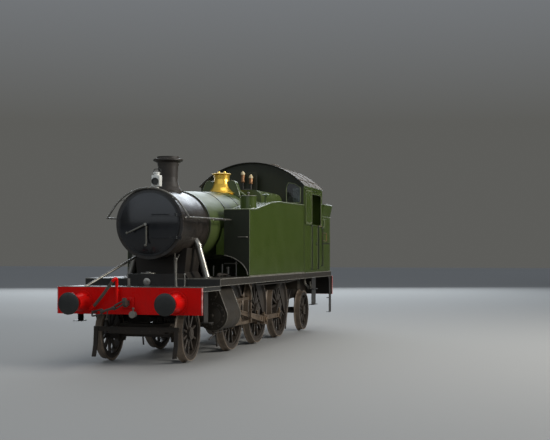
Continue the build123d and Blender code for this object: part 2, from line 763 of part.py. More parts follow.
def smokebox_door():
    """Dished door with hinge straps, hinge pins and central handles."""
    ring = barrel(0, BOILER_Z, DOOR_R, DOOR_BACK_X, DOOR_BACK_X + DOOR_THICK)
    ring -= barrel(0, BOILER_Z, DISH_R - 16, DOOR_BACK_X - 5, DOOR_BACK_X + 50)
    door = ring + dish(-DOOR_THICK, 0, DISH_R - 6)
    for z, _ in STRAPS:
        band = bar(DOOR_BACK_X, DOOR_BACK_X + 250, 30, DISH_R - 60, z - STRAP_HALF, z + STRAP_HALF)
        door += dish(-5, 12, DISH_R - 8) & band
        door += bar(DOOR_BACK_X + 8, DOOR_BACK_X + 40, 430, HINGE_Y, z - EYE_HALF, z + EYE_HALF)
        door += post(HINGE_X, HINGE_Y, 15, z - EYE_HALF, z + EYE_HALF)
        door += post(HINGE_X, HINGE_Y, HINGE_PIN_R, z - EYE_HALF - 22, z + EYE_HALF + 22)
    hub_x = DOOR_BACK_X + DOOR_THICK + DOOR_DISH
    hub_z = BOILER_Z - 20
    door += barrel(0, hub_z, 30, hub_x - 10, hub_x + 75)
    # X offset of the handle, angle from hanging straight down
    for offset, angle in ((28, 0), (54, 66)):
        handle = bar(0, 16, -13, 13, -360, 0)
        door += Pos(hub_x + offset, 0, hub_z) * Rot(-angle, 0, 0) * handle
    return door


def smokebox_stay():
    """Left-hand stay from under the smokebox down to the front platform."""
    stay = tube(((3670, 324, 1898), (4950, 848, 1316)), 22, 10)
    stay -= barrel(0, BOILER_Z, SMOKEBOX_R, SMOKEBOX_REAR_X, SMOKEBOX_FRONT_X)
    stay -= bar(4000, 5100, 0, 1300, 1200, BEAM_TOP)
    return max(stay.solids(), key=lambda solid: solid.volume)


# radius, height
CHIMNEY_PROFILE = (
    (130, CHIMNEY_TOP - 20),
    (170, CHIMNEY_TOP),
    (208, CHIMNEY_TOP),
    (208, CHIMNEY_TOP - 32),
    (282, CHIMNEY_TOP - 50),
    (282, CHIMNEY_TOP - 78),
    (205, CHIMNEY_TOP - 118),
    (194, CHIMNEY_TOP - 180),
    (181, 3330),
    (186, 3240),
    (212, 3155),
    (258, 3080),
    (258, BOILER_Z + 450),
    (130, BOILER_Z + 450),
)


def chimney():
    """Chimney with a small flared skirt and wide capped top."""
    body = revolve(Plane.XZ * outline(*CHIMNEY_PROFILE), axis=Axis.Z)
    body = Pos(CHIMNEY_X, 0, 0) * body
    body -= barrel(0, BOILER_Z, SMOKEBOX_R, 2500, 4000)
    return max(body.solids(), key=lambda solid: solid.volume)


def barrel_centre_z(x):
    """Height of the tapered barrel's centre, its underside being level."""
    share = (SMOKEBOX_REAR_X - x) / (SMOKEBOX_REAR_X - BARREL_REAR_X)
    return BOILER_Z + share * (BARREL_REAR_R - BARREL_FRONT_R)


def boiler_barrel():
    """Tapered boiler barrel with its cleading bands."""
    ends = []
    for x, radius in ((BARREL_REAR_X, BARREL_REAR_R), (SMOKEBOX_REAR_X, BARREL_FRONT_R)):
        plane = Plane(origin=(x, 0, barrel_centre_z(x)), x_dir=(0, 1, 0), z_dir=(1, 0, 0))
        ends.append(plane * Circle(radius))
    return loft(ends)


def firebox_section(top, half, bottom):
    """Flat-topped firebox section in Y and Z, with rounded shoulders."""
    face = outline((-half, bottom), (half, bottom), (half, top), (-half, top))
    corners = face.vertices().sort_by(Axis.Y)[-2:]
    return fillet(corners, 190)


def firebox():
    """Flat-topped firebox, its grate box between the frames and the ashpan."""
    box = cross_plate(firebox_section(FIREBOX_TOP, FIREBOX_HALF, 1950), CAB_FRONT_X, BARREL_REAR_X)
    box += bar(CAB_FRONT_X + 20, BARREL_REAR_X - 30, -560, 560, 1000, 1960)
    pan = outline((-700, 1005), (-1480, 1005), (-1480, 840), (-1200, 560), (-800, 560))
    box += side_plate(pan, -520, 520)
    return box


# radius, height
SAFETY_PROFILE = (
    (0, BONNET_TOP),
    (150, BONNET_TOP),
    (200, BONNET_TOP - 12),
    (200, BONNET_TOP - 32),
    (172, BONNET_TOP - 44),
    (166, 3500),
    (180, 3400),
    (212, 3315),
    (262, 3248),
    (318, 3205),
    (318, 3188),
    (296, 3180),
    (345, 3120),
    (400, 3060),
    (400, 2900),
    (0, 2900),
)


def safety_valve_bonnet():
    """Polished bell-shaped bonnet, fitted to the barrel."""
    bell = revolve(Plane.XZ * outline(*SAFETY_PROFILE), axis=Axis.Z)
    bell = Pos(BONNET_X, 0, 0) * bell - boiler_barrel()
    return max(bell.solids(), key=lambda solid: solid.volume)


COVER_HALF = 95


def top_feed():
    """Left-hand clack valve cover beside the bonnet, with its feed pipe down the barrel."""
    pipe_x = BONNET_X - 40
    with BuildLine() as edge:
        Polyline((120, 3000), (120, 3440), (235, 3472))
        ThreePointArc((235, 3472), (315, 3452), (352, 3385))
        Polyline((352, 3385), (410, 3230), (440, 3100), (440, 3000), (120, 3000))
    cover = cross_plate(make_face(edge.line), BONNET_X - COVER_HALF, BONNET_X + COVER_HALF)
    feed = cover + tube(((pipe_x, 340, 3270), (pipe_x, 640, 3040), (pipe_x, 745, 2800)), 34, 70)
    feed -= safety_valve_bonnet()
    feed -= boiler_barrel()
    feed -= side_tank()
    return max(feed.solids(), key=lambda solid: solid.volume)


def whistles():
    """Pair of whistles on their stand, with the shield plate behind."""
    stand = bar(-1990, -1910, -120, 120, FIREBOX_TOP, FIREBOX_TOP + 50)
    group = stand
    for y in (-75, 75):
        group += post(-1950, y, 18, FIREBOX_TOP + 40, 3560)
        group += post(-1950, y, 48, 3550, 3800)
        group += post(-1950, y, 20, 3795, 3850)
    face = outline((-190, FIREBOX_TOP), (190, FIREBOX_TOP), (190, 3800), (-190, 3800))
    shield = cross_plate(fillet(face.vertices().sort_by(Axis.Y)[-2:], 60), -2050, -2042)
    return group, shield


write("smokebox", smokebox())
write("smokebox_front", smokebox_front())
write("smokebox_door", smokebox_door())
write("smokebox_stays", *both(smokebox_stay()))
write("chimney", chimney())
write("boiler_barrel", boiler_barrel())
write("firebox", firebox())
write("safety_valve_bonnet", safety_valve_bonnet())
write("whistles", *whistles())

# Side tanks


ARCH_CENTRE_Y = 592
ARCH_LENGTH = 800
LID_HINGE_X = FILLER_X - FILLER_R - 22
LID_HINGE_Z = FILLER_TOP + 8
LID_PIN_R = 5


def side_tank():
    """Left-hand side tank with sloped front top, arched front foot and filler."""
    side = outline(
        (CAB_FRONT_X, TANK_FLOOR_Z),
        (TANK_FRONT_X, TANK_FLOOR_Z),
        (TANK_FRONT_X, 2760),
        (1620, 2785),
        (520, 2960),
        (-100, 3005),
        (CAB_FRONT_X, 3030),
    )
    tank = side_plate(side, TANK_INNER_Y, SIDE_Y)
    foot = bar(TANK_FRONT_X - ARCH_LENGTH, TANK_FRONT_X, ARCH_CENTRE_Y, TANK_INNER_Y + 5, 1600, 2400)
    tank += foot - barrel(0, BOILER_Z + 25, BARREL_FRONT_R + 60, 1000, 2200)
    arch = Pos(ARCH_CENTRE_Y, TANK_FLOOR_Z) * Ellipse(650, 430)
    tank -= cross_plate(arch, TANK_FRONT_X - ARCH_LENGTH, TANK_FRONT_X + 10)
    tank += post(FILLER_X, FILLER_Y, FILLER_R, 2770, FILLER_TOP)
    ear = outline(
        (LID_HINGE_X - 10, LID_HINGE_Z),
        (LID_HINGE_X + 11, LID_HINGE_Z),
        (LID_HINGE_X + 11, FILLER_TOP - 4),
        (LID_HINGE_X + 40, FILLER_TOP - 4),
        (LID_HINGE_X + 40, FILLER_TOP - 70),
        (LID_HINGE_X + 20, FILLER_TOP - 70),
        (LID_HINGE_X - 10, FILLER_TOP - 20),
    )
    for y in (FILLER_Y - 25, FILLER_Y + 25):
        tank += side_plate(ear, y - 5, y + 5) + disc(LID_HINGE_X, LID_HINGE_Z, 11, y - 5, y + 5)
    return tank - disc(LID_HINGE_X, LID_HINGE_Z, LID_PIN_R + RUNNING_CLEARANCE, FILLER_Y - 50, FILLER_Y + 50)


def tank_lid():
    """Left-hand filler lid with its rear knuckle and hinge pin."""
    low = FILLER_TOP + SLIDING_CLEARANCE
    lid = post(FILLER_X, FILLER_Y, FILLER_R + 7, low, low + LID_THICK)
    lid += bar(LID_HINGE_X, FILLER_X - FILLER_R + 15, FILLER_Y - 15, FILLER_Y + 15, low, low + LID_THICK)
    lid += disc(LID_HINGE_X, LID_HINGE_Z, 10, FILLER_Y - 15, FILLER_Y + 15)
    return lid + disc(LID_HINGE_X, LID_HINGE_Z, LID_PIN_R, FILLER_Y - 34, FILLER_Y + 34)


write("side_tanks", *both(side_tank()))
write("top_feed", *both(top_feed()))
write("tank_lid_left", tank_lid())
write("tank_lid_right", other_side(tank_lid()))

# Cab and bunker


def roof_arc(half, top, eave):
    """Radius and centre height of the arc through the eaves and the top."""
    rise = top - eave
    radius = (half**2 + rise**2) / (2 * rise)
    return radius, top - radius


ROOF_R, ROOF_CENTRE = roof_arc(ROOF_HALF, ROOF_TOP, EAVE_Z)
ROOF_THICK = 10


def roof_section(radius, bottom, half):
    """Area under the roof arc down to a level."""
    return Pos(0, ROOF_CENTRE) * Circle(radius) & outline(
        (-half, bottom), (half, bottom), (half, ROOF_TOP + 50), (-half, ROOF_TOP + 50)
    )


def cab_front():
    """Cab front sheet with its two shaped windows."""
    sheet = cross_plate(roof_section(ROOF_R - ROOF_THICK, TANK_FLOOR_Z, SIDE_Y - CAB_SHEET), CAB_FRONT_X - CAB_SHEET, CAB_FRONT_X)
    glass = outline((850, 3080), (1190, 3080), (1190, 3440), (1050, 3530), (900, 3560), (850, 3450))
    window = cross_plate(glass, CAB_FRONT_X - 50, CAB_FRONT_X + 50)
    return sheet - window - other_side(window)


SHUTTER_FRONT_X = -2330
SHUTTER_LENGTH = 630
SHUTTER_BOTTOM = WAIST_Z + 14
SHUTTER_TOP = 3400
RUNNER = 14


CAB_HINGE_X = DOORWAY_FRONT_X + 6
CAB_HINGE_Y = SIDE_Y - CAB_SHEET - 11
CAB_HINGE_ZS = (1700, 2380)
KNUCKLE_R = 9
KNUCKLE_HALF = 30
CAB_PIN_R = 4.5


def cab_side():
    """Left-hand cab side with window, doorway and door hinges, up to the eave."""
    front, rear = CAB_FRONT_X, CAB_REAR_X
    sheet = bar(rear, front, SIDE_Y - CAB_SHEET, SIDE_Y, TANK_FLOOR_Z, EAVE_Z)
    sheet -= bar(WINDOW_REAR_X, WINDOW_FRONT_X, 1200, 1400, WAIST_Z, WINDOW_TOP)
    sheet -= bar(DOORWAY_REAR_X, DOORWAY_FRONT_X, 1200, 1400, FLOOR_Z, WAIST_Z + 10)
    for low in (SHUTTER_BOTTOM - SLIDING_CLEARANCE - RUNNER, SHUTTER_TOP + SLIDING_CLEARANCE):
        sheet += bar(SHUTTER_FRONT_X - 2 * SHUTTER_LENGTH, SHUTTER_FRONT_X + 8, SIDE_Y, SIDE_Y + 30, low, low + RUNNER)
    for z in CAB_HINGE_ZS:
        for low in (z - KNUCKLE_HALF - 13, z + KNUCKLE_HALF + 1):
            sheet += post(CAB_HINGE_X, CAB_HINGE_Y, KNUCKLE_R, low, low + 12)
            sheet += bar(CAB_HINGE_X, CAB_HINGE_X + KNUCKLE_R, CAB_HINGE_Y, SIDE_Y - CAB_SHEET + 1, low, low + 12)
        sheet -= post(CAB_HINGE_X, CAB_HINGE_Y, CAB_PIN_R + RUNNING_CLEARANCE, z - 50, z + 50)
    return sheet


def cab_door():
    """Left-hand cab door with its two strap hinges, opening inwards."""
    inner, outer = SIDE_Y - CAB_SHEET - 2, SIDE_Y - 4
    door = bar(DOORWAY_REAR_X + 6, DOORWAY_FRONT_X - 6, inner, outer, FLOOR_Z + 6, WAIST_Z - 6)
    for z in CAB_HINGE_ZS:
        door += bar(CAB_HINGE_X - 130, CAB_HINGE_X, inner - 8, inner, z - 18, z + 18)
        door += post(CAB_HINGE_X, CAB_HINGE_Y, KNUCKLE_R, z - KNUCKLE_HALF, z + KNUCKLE_HALF)
        door += post(CAB_HINGE_X, CAB_HINGE_Y, CAB_PIN_R, z - KNUCKLE_HALF - 13, z + KNUCKLE_HALF + 13)
    return door


def cab_shutter():
    """Left-hand sliding shutter of the cab side, drawn in front of the window."""
    rear = SHUTTER_FRONT_X - SHUTTER_LENGTH
    return bar(rear, SHUTTER_FRONT_X, SIDE_Y + 6, SIDE_Y + 24, SHUTTER_BOTTOM, SHUTTER_TOP)


def cab_roof():
    """Arched roof sheet."""
    full = cross_plate(roof_section(ROOF_R, EAVE_Z, ROOF_HALF), CAB_REAR_X - 30, CAB_FRONT_X + 70)
    full -= cross_plate(Pos(0, ROOF_CENTRE) * Circle(ROOF_R - ROOF_THICK), CAB_REAR_X - 40, CAB_FRONT_X + 80)
    return max(full.solids(), key=lambda solid: solid.volume)


def cab_back():
    """Cab back sheet over the bunker, with two windows."""
    sheet = cross_plate(
        roof_section(ROOF_R - ROOF_THICK, FLOOR_Z, SIDE_Y - CAB_SHEET),
        CAB_REAR_X,
        CAB_REAR_X + CAB_SHEET,
    )
    window = bar(CAB_REAR_X - 50, CAB_REAR_X + 50, 520, 980, 3180, 3560)
    return sheet - window - other_side(window)


def bunker():
    """Open-topped bunker with flared sides and the rear water tank in its foot."""
    half = SIDE_Y
    outer = bar(BUNKER_REAR_X, CAB_REAR_X, -half, half, TANK_FLOOR_Z, 2820)
    top = loft(
        [
            Pos((BUNKER_REAR_X + CAB_REAR_X) / 2, 0, 2820) * Rectangle(CAB_REAR_X - BUNKER_REAR_X, 2 * half),
            Pos((BUNKER_REAR_X - 60 + CAB_REAR_X) / 2, 0, BUNKER_TOP)
            * Rectangle(CAB_REAR_X - BUNKER_REAR_X + 60, 2 * (half + 50)),
        ]
    )
    inner_low = bar(BUNKER_REAR_X + 10, CAB_REAR_X - 10, -half + 10, half - 10, 2150, 2821)
    inner_top = loft(
        [
            Pos((BUNKER_REAR_X + CAB_REAR_X) / 2, 0, 2820) * Rectangle(CAB_REAR_X - BUNKER_REAR_X - 20, 2 * half - 20),
            Pos((BUNKER_REAR_X - 60 + CAB_REAR_X) / 2, 0, BUNKER_TOP)
            * Rectangle(CAB_REAR_X - BUNKER_REAR_X + 40, 2 * (half + 40)),
        ]
    )
    return outer + top - inner_low - inner_top


def cab_floor():
    """Cab floor between the side sheets."""
    low = TANK_FLOOR_Z
    return bar(CAB_REAR_X + CAB_SHEET, CAB_FRONT_X - CAB_SHEET, -SIDE_Y + CAB_SHEET, SIDE_Y - CAB_SHEET, low, FLOOR_Z)


def backhead():
    """Firebox back plate inside the cab, with its fire door."""
    plate = cross_plate(firebox_section(FIREBOX_TOP - 60, FIREBOX_HALF - 60, FLOOR_Z), CAB_FRONT_X - 240, CAB_FRONT_X - CAB_SHEET)
    plate += cross_plate(Pos(0, 2150) * Rectangle(520, 340), CAB_FRONT_X - 275, CAB_FRONT_X - 235)
    plate += barrel(0, 2950, 30, CAB_FRONT_X - 330, CAB_FRONT_X - 235)
    plate += bar(CAB_FRONT_X - 330, CAB_FRONT_X - 310, -20, 20, 2560, 2960)
    return plate


write("cab_front", cab_front())
write("cab_sides", *both(cab_side()))
write("cab_door_left", cab_door())
write("cab_door_right", other_side(cab_door()))
write("cab_shutter_left", cab_shutter())
write("cab_shutter_right", other_side(cab_shutter()))
write("cab_roof", cab_roof())
write("cab_back", cab_back())
write("cab_floor", cab_floor())
write("bunker", bunker())
write("backhead", backhead())

# Fittings


def headlamp():
    """Lamp on its iron on top of the smokebox, with its lens, chimney and handle."""
    middle_x, middle_y, half_x, half_y = 4025, 115, 62, 80
    low, shoulder, top = 3105, 3310, 3366
    iron = bar(middle_x - 20, middle_x + 20, middle_y - 30, middle_y + 30, BOILER_Z + SMOKEBOX_R - 40, low)
    iron -= barrel(0, BOILER_Z, SMOKEBOX_R, 3900, FRONT_PLATE_X)
    case = bar(middle_x - half_x, middle_x + half_x, middle_y - half_y, middle_y + half_y, low, shoulder)
    chimney_piece = post(middle_x, middle_y, 50, shoulder - 5, top - 12)
    cap = post(middle_x, middle_y, 60, top - 14, top)
    lens = barrel(middle_y, 3195, 58, middle_x + half_x - 2, middle_x + half_x + 33)
    ends = (middle_y - half_y + 8, middle_y + half_y - 8)
    x = middle_x - 30
    handle = tube(((x, ends[0], shoulder - 5), (x, ends[0], 3425), (x, ends[1], 3425), (x, ends[1], shoulder - 5)), 7, 35)
    return iron + case + chimney_piece + cap + lens + handle


def handrail():
    """Side rails from the tank fronts forward, and the hoop over the smokebox front."""
    radius = 16
    front = SMOKEBOX_FRONT_X + 60
    corner = (front, 790, 2540)
    side = tube(((TANK_FRONT_X, 900, 2556), corner), radius, 10)
    hoop_r = 800
    hoop_top = 3076
    start = 37
    arc = CenterArc((0, hoop_top - hoop_r), hoop_r, start, 180 - 2 * start)
    path = Plane(origin=(front, 0, 0), x_dir=(0, 1, 0), z_dir=(1, 0, 0)) * arc
    hoop = sweep(Plane(origin=path @ 0, z_dir=path % 0) * Circle(radius), path=path)
    low = path @ 0
    link = tube(((low.X, low.Y, low.Z), corner), radius, 10)
    knob = Pos(*corner) * Sphere(radius + 4) + Pos(low.X, low.Y, low.Z) * Sphere(radius + 2)
    half = side + link + knob - bar(TANK_FRONT_X - 100, TANK_FRONT_X, 800, 1000, 2400, 2700)
    return half + hoop + other_side(half)


def step(x, z_top, treads, half, face):
    """Left-hand hanging step, its plate's outer side at face, with treads at heights."""
    hanger = bar(x - half, x + half, face - 12, face, treads[-1], z_top)
    for z in treads:
        hanger += bar(x - half, x + half, face - 72, min(face + 98, HALF_WIDTH), z, z + 14)
    return hanger


def rear_gusset():
    """Left-hand curved end of the valance, running down into the rear step."""
    front = REAR_STEP_X + REAR_STEP_HALF
    corner = bar(front - 5, front + 150, HALF_WIDTH - 12, HALF_WIDTH, VALANCE_BOTTOM - 150, VALANCE_BOTTOM + 20)
    return corner - disc(front + 150, VALANCE_BOTTOM - 150, 150, HALF_WIDTH - 30, HALF_WIDTH + 10)


REAR_STEP_X = -4850
REAR_STEP_HALF = 110


def steps():
    """Steps at the front, under the cab doorway and at the rear."""
    pieces = []
    # X, top, tread heights, half length, outer side of the plate
    table = (
        (4400, BEAM_TOP - 12, (690,), 110, 1192),
        (-3270, PLATE_BOTTOM, (1030, 660), 200, 1262),
        (REAR_STEP_X, PLATE_BOTTOM, (760, 400), REAR_STEP_HALF, HALF_WIDTH),
    )
    for x, top, treads, half, face in table:
        one = step(x, top, treads, half, face)
        if x == REAR_STEP_X:
            one += rear_gusset()
            one -= bar(-5000, -4000, HALF_WIDTH - VALANCE_THICK, HALF_WIDTH, VALANCE_BOTTOM, PLATE_BOTTOM)
        pieces.extend(both(one))
    return pieces


def brake_hanger(x):
    """Left-hand brake block behind a coupled wheel, on its hanger."""
    block = side_plate(Circle(COUPLED_R + 70), WHEEL_BACK + 45, WHEEL_BACK + 125)
    block -= disc(0, 0, COUPLED_R + 8, 600, 900)
    block &= bar(-900, -500, 600, 900, -230, 130)
    hanger = bar(-765, -735, WHEEL_BACK + 50, WHEEL_BACK + 80, -330, FRAME_TOP - COUPLED_R - 60)
    bracket = bar(-770, -730, FRAME_OUTER_Y, WHEEL_BACK + 80, 440, 500)
    return Pos(x, 0, COUPLED_R) * (block + hanger + bracket)


def brake_gear():
    """Brake blocks and hangers on their cross beams, with the pull rod between."""
    pieces = []
    beam_z = COUPLED_R - 330
    for x in COUPLED_XS:
        left = brake_hanger(x)
        cross = bar(x - 775, x - 735, -WHEEL_BACK - 60, WHEEL_BACK + 60, beam_z, beam_z + 50)
        pieces.append(left + cross + other_side(left))
    return pieces


def sandbox():
    """Left-hand sandbox under the running plate in front of the coupled wheels."""
    return bar(-2960, -2700, FRAME_OUTER_Y + 20, 1000, 1050, PLATE_BOTTOM)


write("headlamp", headlamp())
write("handrails", handrail())
write("steps", *steps())
write("brake_gear", *brake_gear())
write("sandboxes", *both(sandbox()))
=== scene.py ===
"""Looks of a side tank steam locomotive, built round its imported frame.

Metres. +X is the front, +Y the left side, +Z up, and the wheel flanges stand on z = 0.
"""

import logging
import math
from contextlib import contextmanager
from dataclasses import dataclass
from enum import Enum
from typing import Iterator, Sequence

import bpy
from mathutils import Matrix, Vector


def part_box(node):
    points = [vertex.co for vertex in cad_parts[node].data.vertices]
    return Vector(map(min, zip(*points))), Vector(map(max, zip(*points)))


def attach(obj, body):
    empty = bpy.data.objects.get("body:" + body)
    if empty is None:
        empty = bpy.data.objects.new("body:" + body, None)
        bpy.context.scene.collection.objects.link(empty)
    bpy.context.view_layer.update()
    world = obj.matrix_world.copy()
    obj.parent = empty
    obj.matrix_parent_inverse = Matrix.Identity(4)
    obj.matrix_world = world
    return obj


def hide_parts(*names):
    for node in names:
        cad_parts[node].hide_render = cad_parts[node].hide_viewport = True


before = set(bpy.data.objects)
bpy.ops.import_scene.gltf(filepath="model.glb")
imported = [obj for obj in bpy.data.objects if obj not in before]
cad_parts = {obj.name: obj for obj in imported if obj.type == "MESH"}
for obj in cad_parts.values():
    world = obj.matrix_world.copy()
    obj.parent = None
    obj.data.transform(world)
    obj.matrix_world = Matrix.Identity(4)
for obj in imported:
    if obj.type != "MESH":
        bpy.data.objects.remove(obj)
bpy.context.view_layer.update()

log = logging.getLogger("locomotive")

Point = tuple[float, float, float]
Run = Sequence[Point]
Pairs = Sequence[tuple[float, float]]
Colour = tuple[float, float, float]
Piece = bpy.types.Object

# Height of the rail over the flanges' feet, and X of the step down to the front platform
RAIL = 0.03
DROP_X = 3.95
# How far a band is sunk in its drum, and a rivet's foot in its plate
SUNK_BAND = 0.004
SUNK_HEAD = 0.002


class Axis(Enum):
    """Direction that a turned piece points in, as the turn of its own upright axis."""

    FRONT = (0.0, math.pi / 2, 0.0)
    REAR = (0.0, -math.pi / 2, 0.0)
    LEFT = (-math.pi / 2, 0.0, 0.0)
    RIGHT = (math.pi / 2, 0.0, 0.0)
    UP = (0.0, 0.0, 0.0)
    DOWN = (math.pi, 0.0, 0.0)


class Across(Enum):
    """Which way a piece is mirrored, as the scale of the mirror image."""

    SIDES = (1.0, -1.0, 1.0)
    ENDS = (-1.0, 1.0, 1.0)


FRONT, REAR, LEFT, RIGHT, UP, DOWN = Axis
SIDES, ENDS = Across
HANDS = (("left", 1), ("right", -1))


def up(height: float) -> float:
    """Height over the rail as a height in the frame."""
    return RAIL + height


def lifted(run: Run, x: float = 0.0) -> list[Point]:
    """Points given over the rail and along the engine from a place x, as points in the frame."""
    return [(x + along, y, up(z)) for along, y, z in run]


# Modelling bench


@contextmanager
def editing() -> Iterator[None]:
    """Open the active piece in edit mode with all of it selected."""
    bpy.ops.object.mode_set(mode="EDIT")
    bpy.ops.mesh.select_all(action="SELECT")
    yield
    bpy.ops.object.mode_set(mode="OBJECT")


def clear() -> None:
    """Deselect every object before a new piece is begun."""
    bpy.ops.object.select_all(action="DESELECT")


def settle(angle: float = 35.0) -> Piece:
    """Put the active piece's place into its mesh and smooth its curved faces.

    Args:
        angle: Edges that turn by more than this many degrees stay sharp.

    Returns:
        The active piece.
    """
    bpy.ops.object.transform_apply(location=True, rotation=True, scale=True)
    bpy.ops.object.shade_smooth_by_angle(angle=math.radians(angle))
    return bpy.context.object


def block(low: Point, high: Point, bevel: float = 0.004, segments: int = 2) -> Piece:
    """Model a bar with eased edges.

    Args:
        low: Lowest corner.
        high: Highest corner.
        bevel: Width of the eased edges.
        segments: Steps across each eased edge.

    Returns:
        The new piece.
    """
    clear()
    centre = [(a + b) / 2 for a, b in zip(low, high)]
    size = [abs(b - a) for a, b in zip(low, high)]
    bpy.ops.mesh.primitive_cube_add(size=1, location=centre, scale=size)
    bpy.ops.object.transform_apply(location=True, rotation=True, scale=True)
    width = min(bevel, min(size) * 0.45)
    if width > 0:
        with editing():
            bpy.ops.mesh.bevel(offset=width, segments=segments, affect="EDGES")
    return settle()


def turned(profile: Pairs, origin: Point, axis: Axis, sides: int = 32) -> Piece:
    """Turn a piece: a disc drawn out along its axis through each radius.

    Args:
        profile: Distance along the axis and radius of each step.
        origin: Where the axis starts.
        axis: Direction of the axis.
        sides: Faces round the piece.

    Returns:
        The new piece.
    """
    clear()
    (along, reach), *rest = profile
    start = (0, 0, along)
    bpy.ops.mesh.primitive_circle_add(vertices=sides, radius=reach, fill_type="NGON", location=start)
    bpy.ops.object.transform_apply(location=True, rotation=True, scale=True)
    with editing():
        for there, size in rest:
            bpy.ops.mesh.extrude_region_move(TRANSFORM_OT_translate={"value": (0, 0, there - along)})
            bpy.ops.transform.resize(value=(size / reach, size / reach, 1))
            along, reach = there, size
        bpy.ops.mesh.select_all(action="SELECT")
        bpy.ops.mesh.normals_make_consistent(inside=False)
    piece = bpy.context.object
    piece.rotation_euler = axis.value
    piece.location = origin
    return settle()


def ring(centre: Point, axis: Axis, reach: float, thick: float, sides: int = 48) -> Piece:
    """Model a round ring, such as a bead or the rim of a gauge.

    Args:
        centre: Middle of the ring.
        axis: Direction that it faces.
        reach: Radius to the middle of its bar.
        thick: Radius of its bar.
        sides: Faces round the ring.

    Returns:
        The new piece.
    """
    clear()
    bpy.ops.mesh.primitive_torus_add(
        location=centre, rotation=axis.value, major_radius=reach, minor_radius=thick,
        major_segments=sides, minor_segments=8,
    )
    return settle()


def band(centre: Point, axis: Axis, reach: float, width: float, thick: float, sides: int = 96) -> Piece:
    """Wrap a flat strip round a drum.

    Args:
        centre: Middle of the strip's circle.
        axis: Direction of the drum's axis.
        reach: Radius of the drum.
        width: Width of the strip along the drum.
        thick: How far the strip stands proud.
        sides: Faces round the strip.

    Returns:
        The new piece.
    """
    clear()
    bpy.ops.mesh.primitive_cylinder_add(
        vertices=sides, radius=reach + thick, depth=width, end_fill_type="NOTHING", location=centre,
        rotation=axis.value,
    )
    solidify = bpy.context.object.modifiers.new("thickness", "SOLIDIFY")
    solidify.thickness = thick + SUNK_BAND
    bpy.ops.object.modifier_apply(modifier="thickness")
    return settle()


def panel(outline: Run, along: Point, bevel: float = 0.002) -> Piece:
    """Cut a plate to an outline and give it its thickness.

    Args:
        outline: Corners of one flat face in order.
        along: How far and which way the other face stands.
        bevel: Width of the eased edges.

    Returns:
        The new piece.
    """
    clear()
    bpy.ops.mesh.primitive_circle_add(vertices=len(outline), radius=1, fill_type="NGON")
    piece = bpy.context.object
    for vertex, corner in zip(piece.data.vertices, outline):
        vertex.co = corner
    with editing():
        bpy.ops.mesh.extrude_region_move(TRANSFORM_OT_translate={"value": along})
        bpy.ops.mesh.select_all(action="SELECT")
        bpy.ops.mesh.normals_make_consistent(inside=False)
        if bevel:
            bpy.ops.mesh.bevel(offset=bevel, segments=1, affect="EDGES")
    return settle()


def posed(piece: Piece, origin: Point, dip: float) -> Piece:
    """Tip a piece about the cross axis and carry it to its place.

    Args:
        piece: Piece modelled about the origin.
        origin: Where its own origin goes.
        dip: Degrees by which its front end is turned down.

    Returns:
        The piece.
    """
    clear()
    piece.select_set(True)
    bpy.context.view_layer.objects.active = piece
    piece.rotation_euler = (0, math.radians(dip), 0)
    piece.location = origin
    bpy.ops.object.transform_apply(location=True, rotation=True, scale=True)
    return piece


def rounded(points: Run, bend: float, steps: int = 5) -> list[Vector]:
    """Replace each corner of a run with an arc.

    Args:
        points: Corners of the run.
        bend: Radius of the arcs.
        steps: Segments in each arc.

    Returns:
        The points of the rounded run.
    """
    run = [Vector(p) for p in points]
    line = [run[0]]
    for before, corner, after in zip(run, run[1:], run[2:]):
        back, ahead = before - corner, after - corner
        half = back.angle(ahead) / 2
        reach = min(bend / math.tan(half), back.length * 0.48, ahead.length * 0.48)
        start, end = corner + back.normalized() * reach, corner + ahead.normalized() * reach
        for k in range(steps + 1):
            t = k / steps
            line.append(start * (1 - t) ** 2 + corner * 2 * t * (1 - t) + end * t**2)
    line.append(run[-1])
    return line


def pipe(points: Run, radius: float, bend: float = 0.05, facets: int = 3, closed: bool = False) -> Piece:
    """Bend a round bar along a run of points.

    Args:
        points: Corners of the run.
        radius: Radius of the bar.
        bend: Radius of its bends.
        facets: Fineness of its roundness.
        closed: Whether the end is joined to the start.

    Returns:
        The new piece.
    """
    clear()
    if closed:
        line = rounded([points[-1], *points, points[0]], bend)[1:-1]
    else:
        line = rounded(points, bend)
    bpy.ops.curve.primitive_bezier_curve_add()
    piece = bpy.context.object
    curve = piece.data
    curve.splines.clear()
    spline = curve.splines.new("POLY")
    spline.points.add(len(line) - 1)
    for point, place in zip(spline.points, line):
        point.co = (*place, 1)
    spline.use_cyclic_u = closed
    curve.dimensions = "3D"
    curve.bevel_depth = radius
    curve.bevel_resolution = facets
    curve.use_fill_caps = True
    bpy.ops.object.convert(target="MESH")
    return settle()


def bars(*rows: Sequence) -> list[Piece]:
    """Bend round bars from rows of radius, bend and the run's points, with heights over the rail."""
    return [pipe(lifted(run), radius, bend) for radius, bend, *run in rows]


def blocks(*rows: Sequence) -> list[Piece]:
    """Model bars with eased edges from rows of bevel and both corners, with heights over the rail."""
    return [block(*lifted(corners), bevel) for bevel, *corners in rows]


def copies(master: Piece, moves: Run) -> list[Piece]:
    """Repeat a piece at further places, each copy with its own mesh.

    Args:
        master: The piece to repeat, which stays.
        moves: How far each copy stands from it.

    Returns:
        The piece and its copies.
    """
    made = [master]
    for move in moves:
        twin = master.copy()
        twin.data = master.data.copy()
        twin.location = move
        bpy.context.scene.collection.objects.link(twin)
        made.append(twin)
    return made


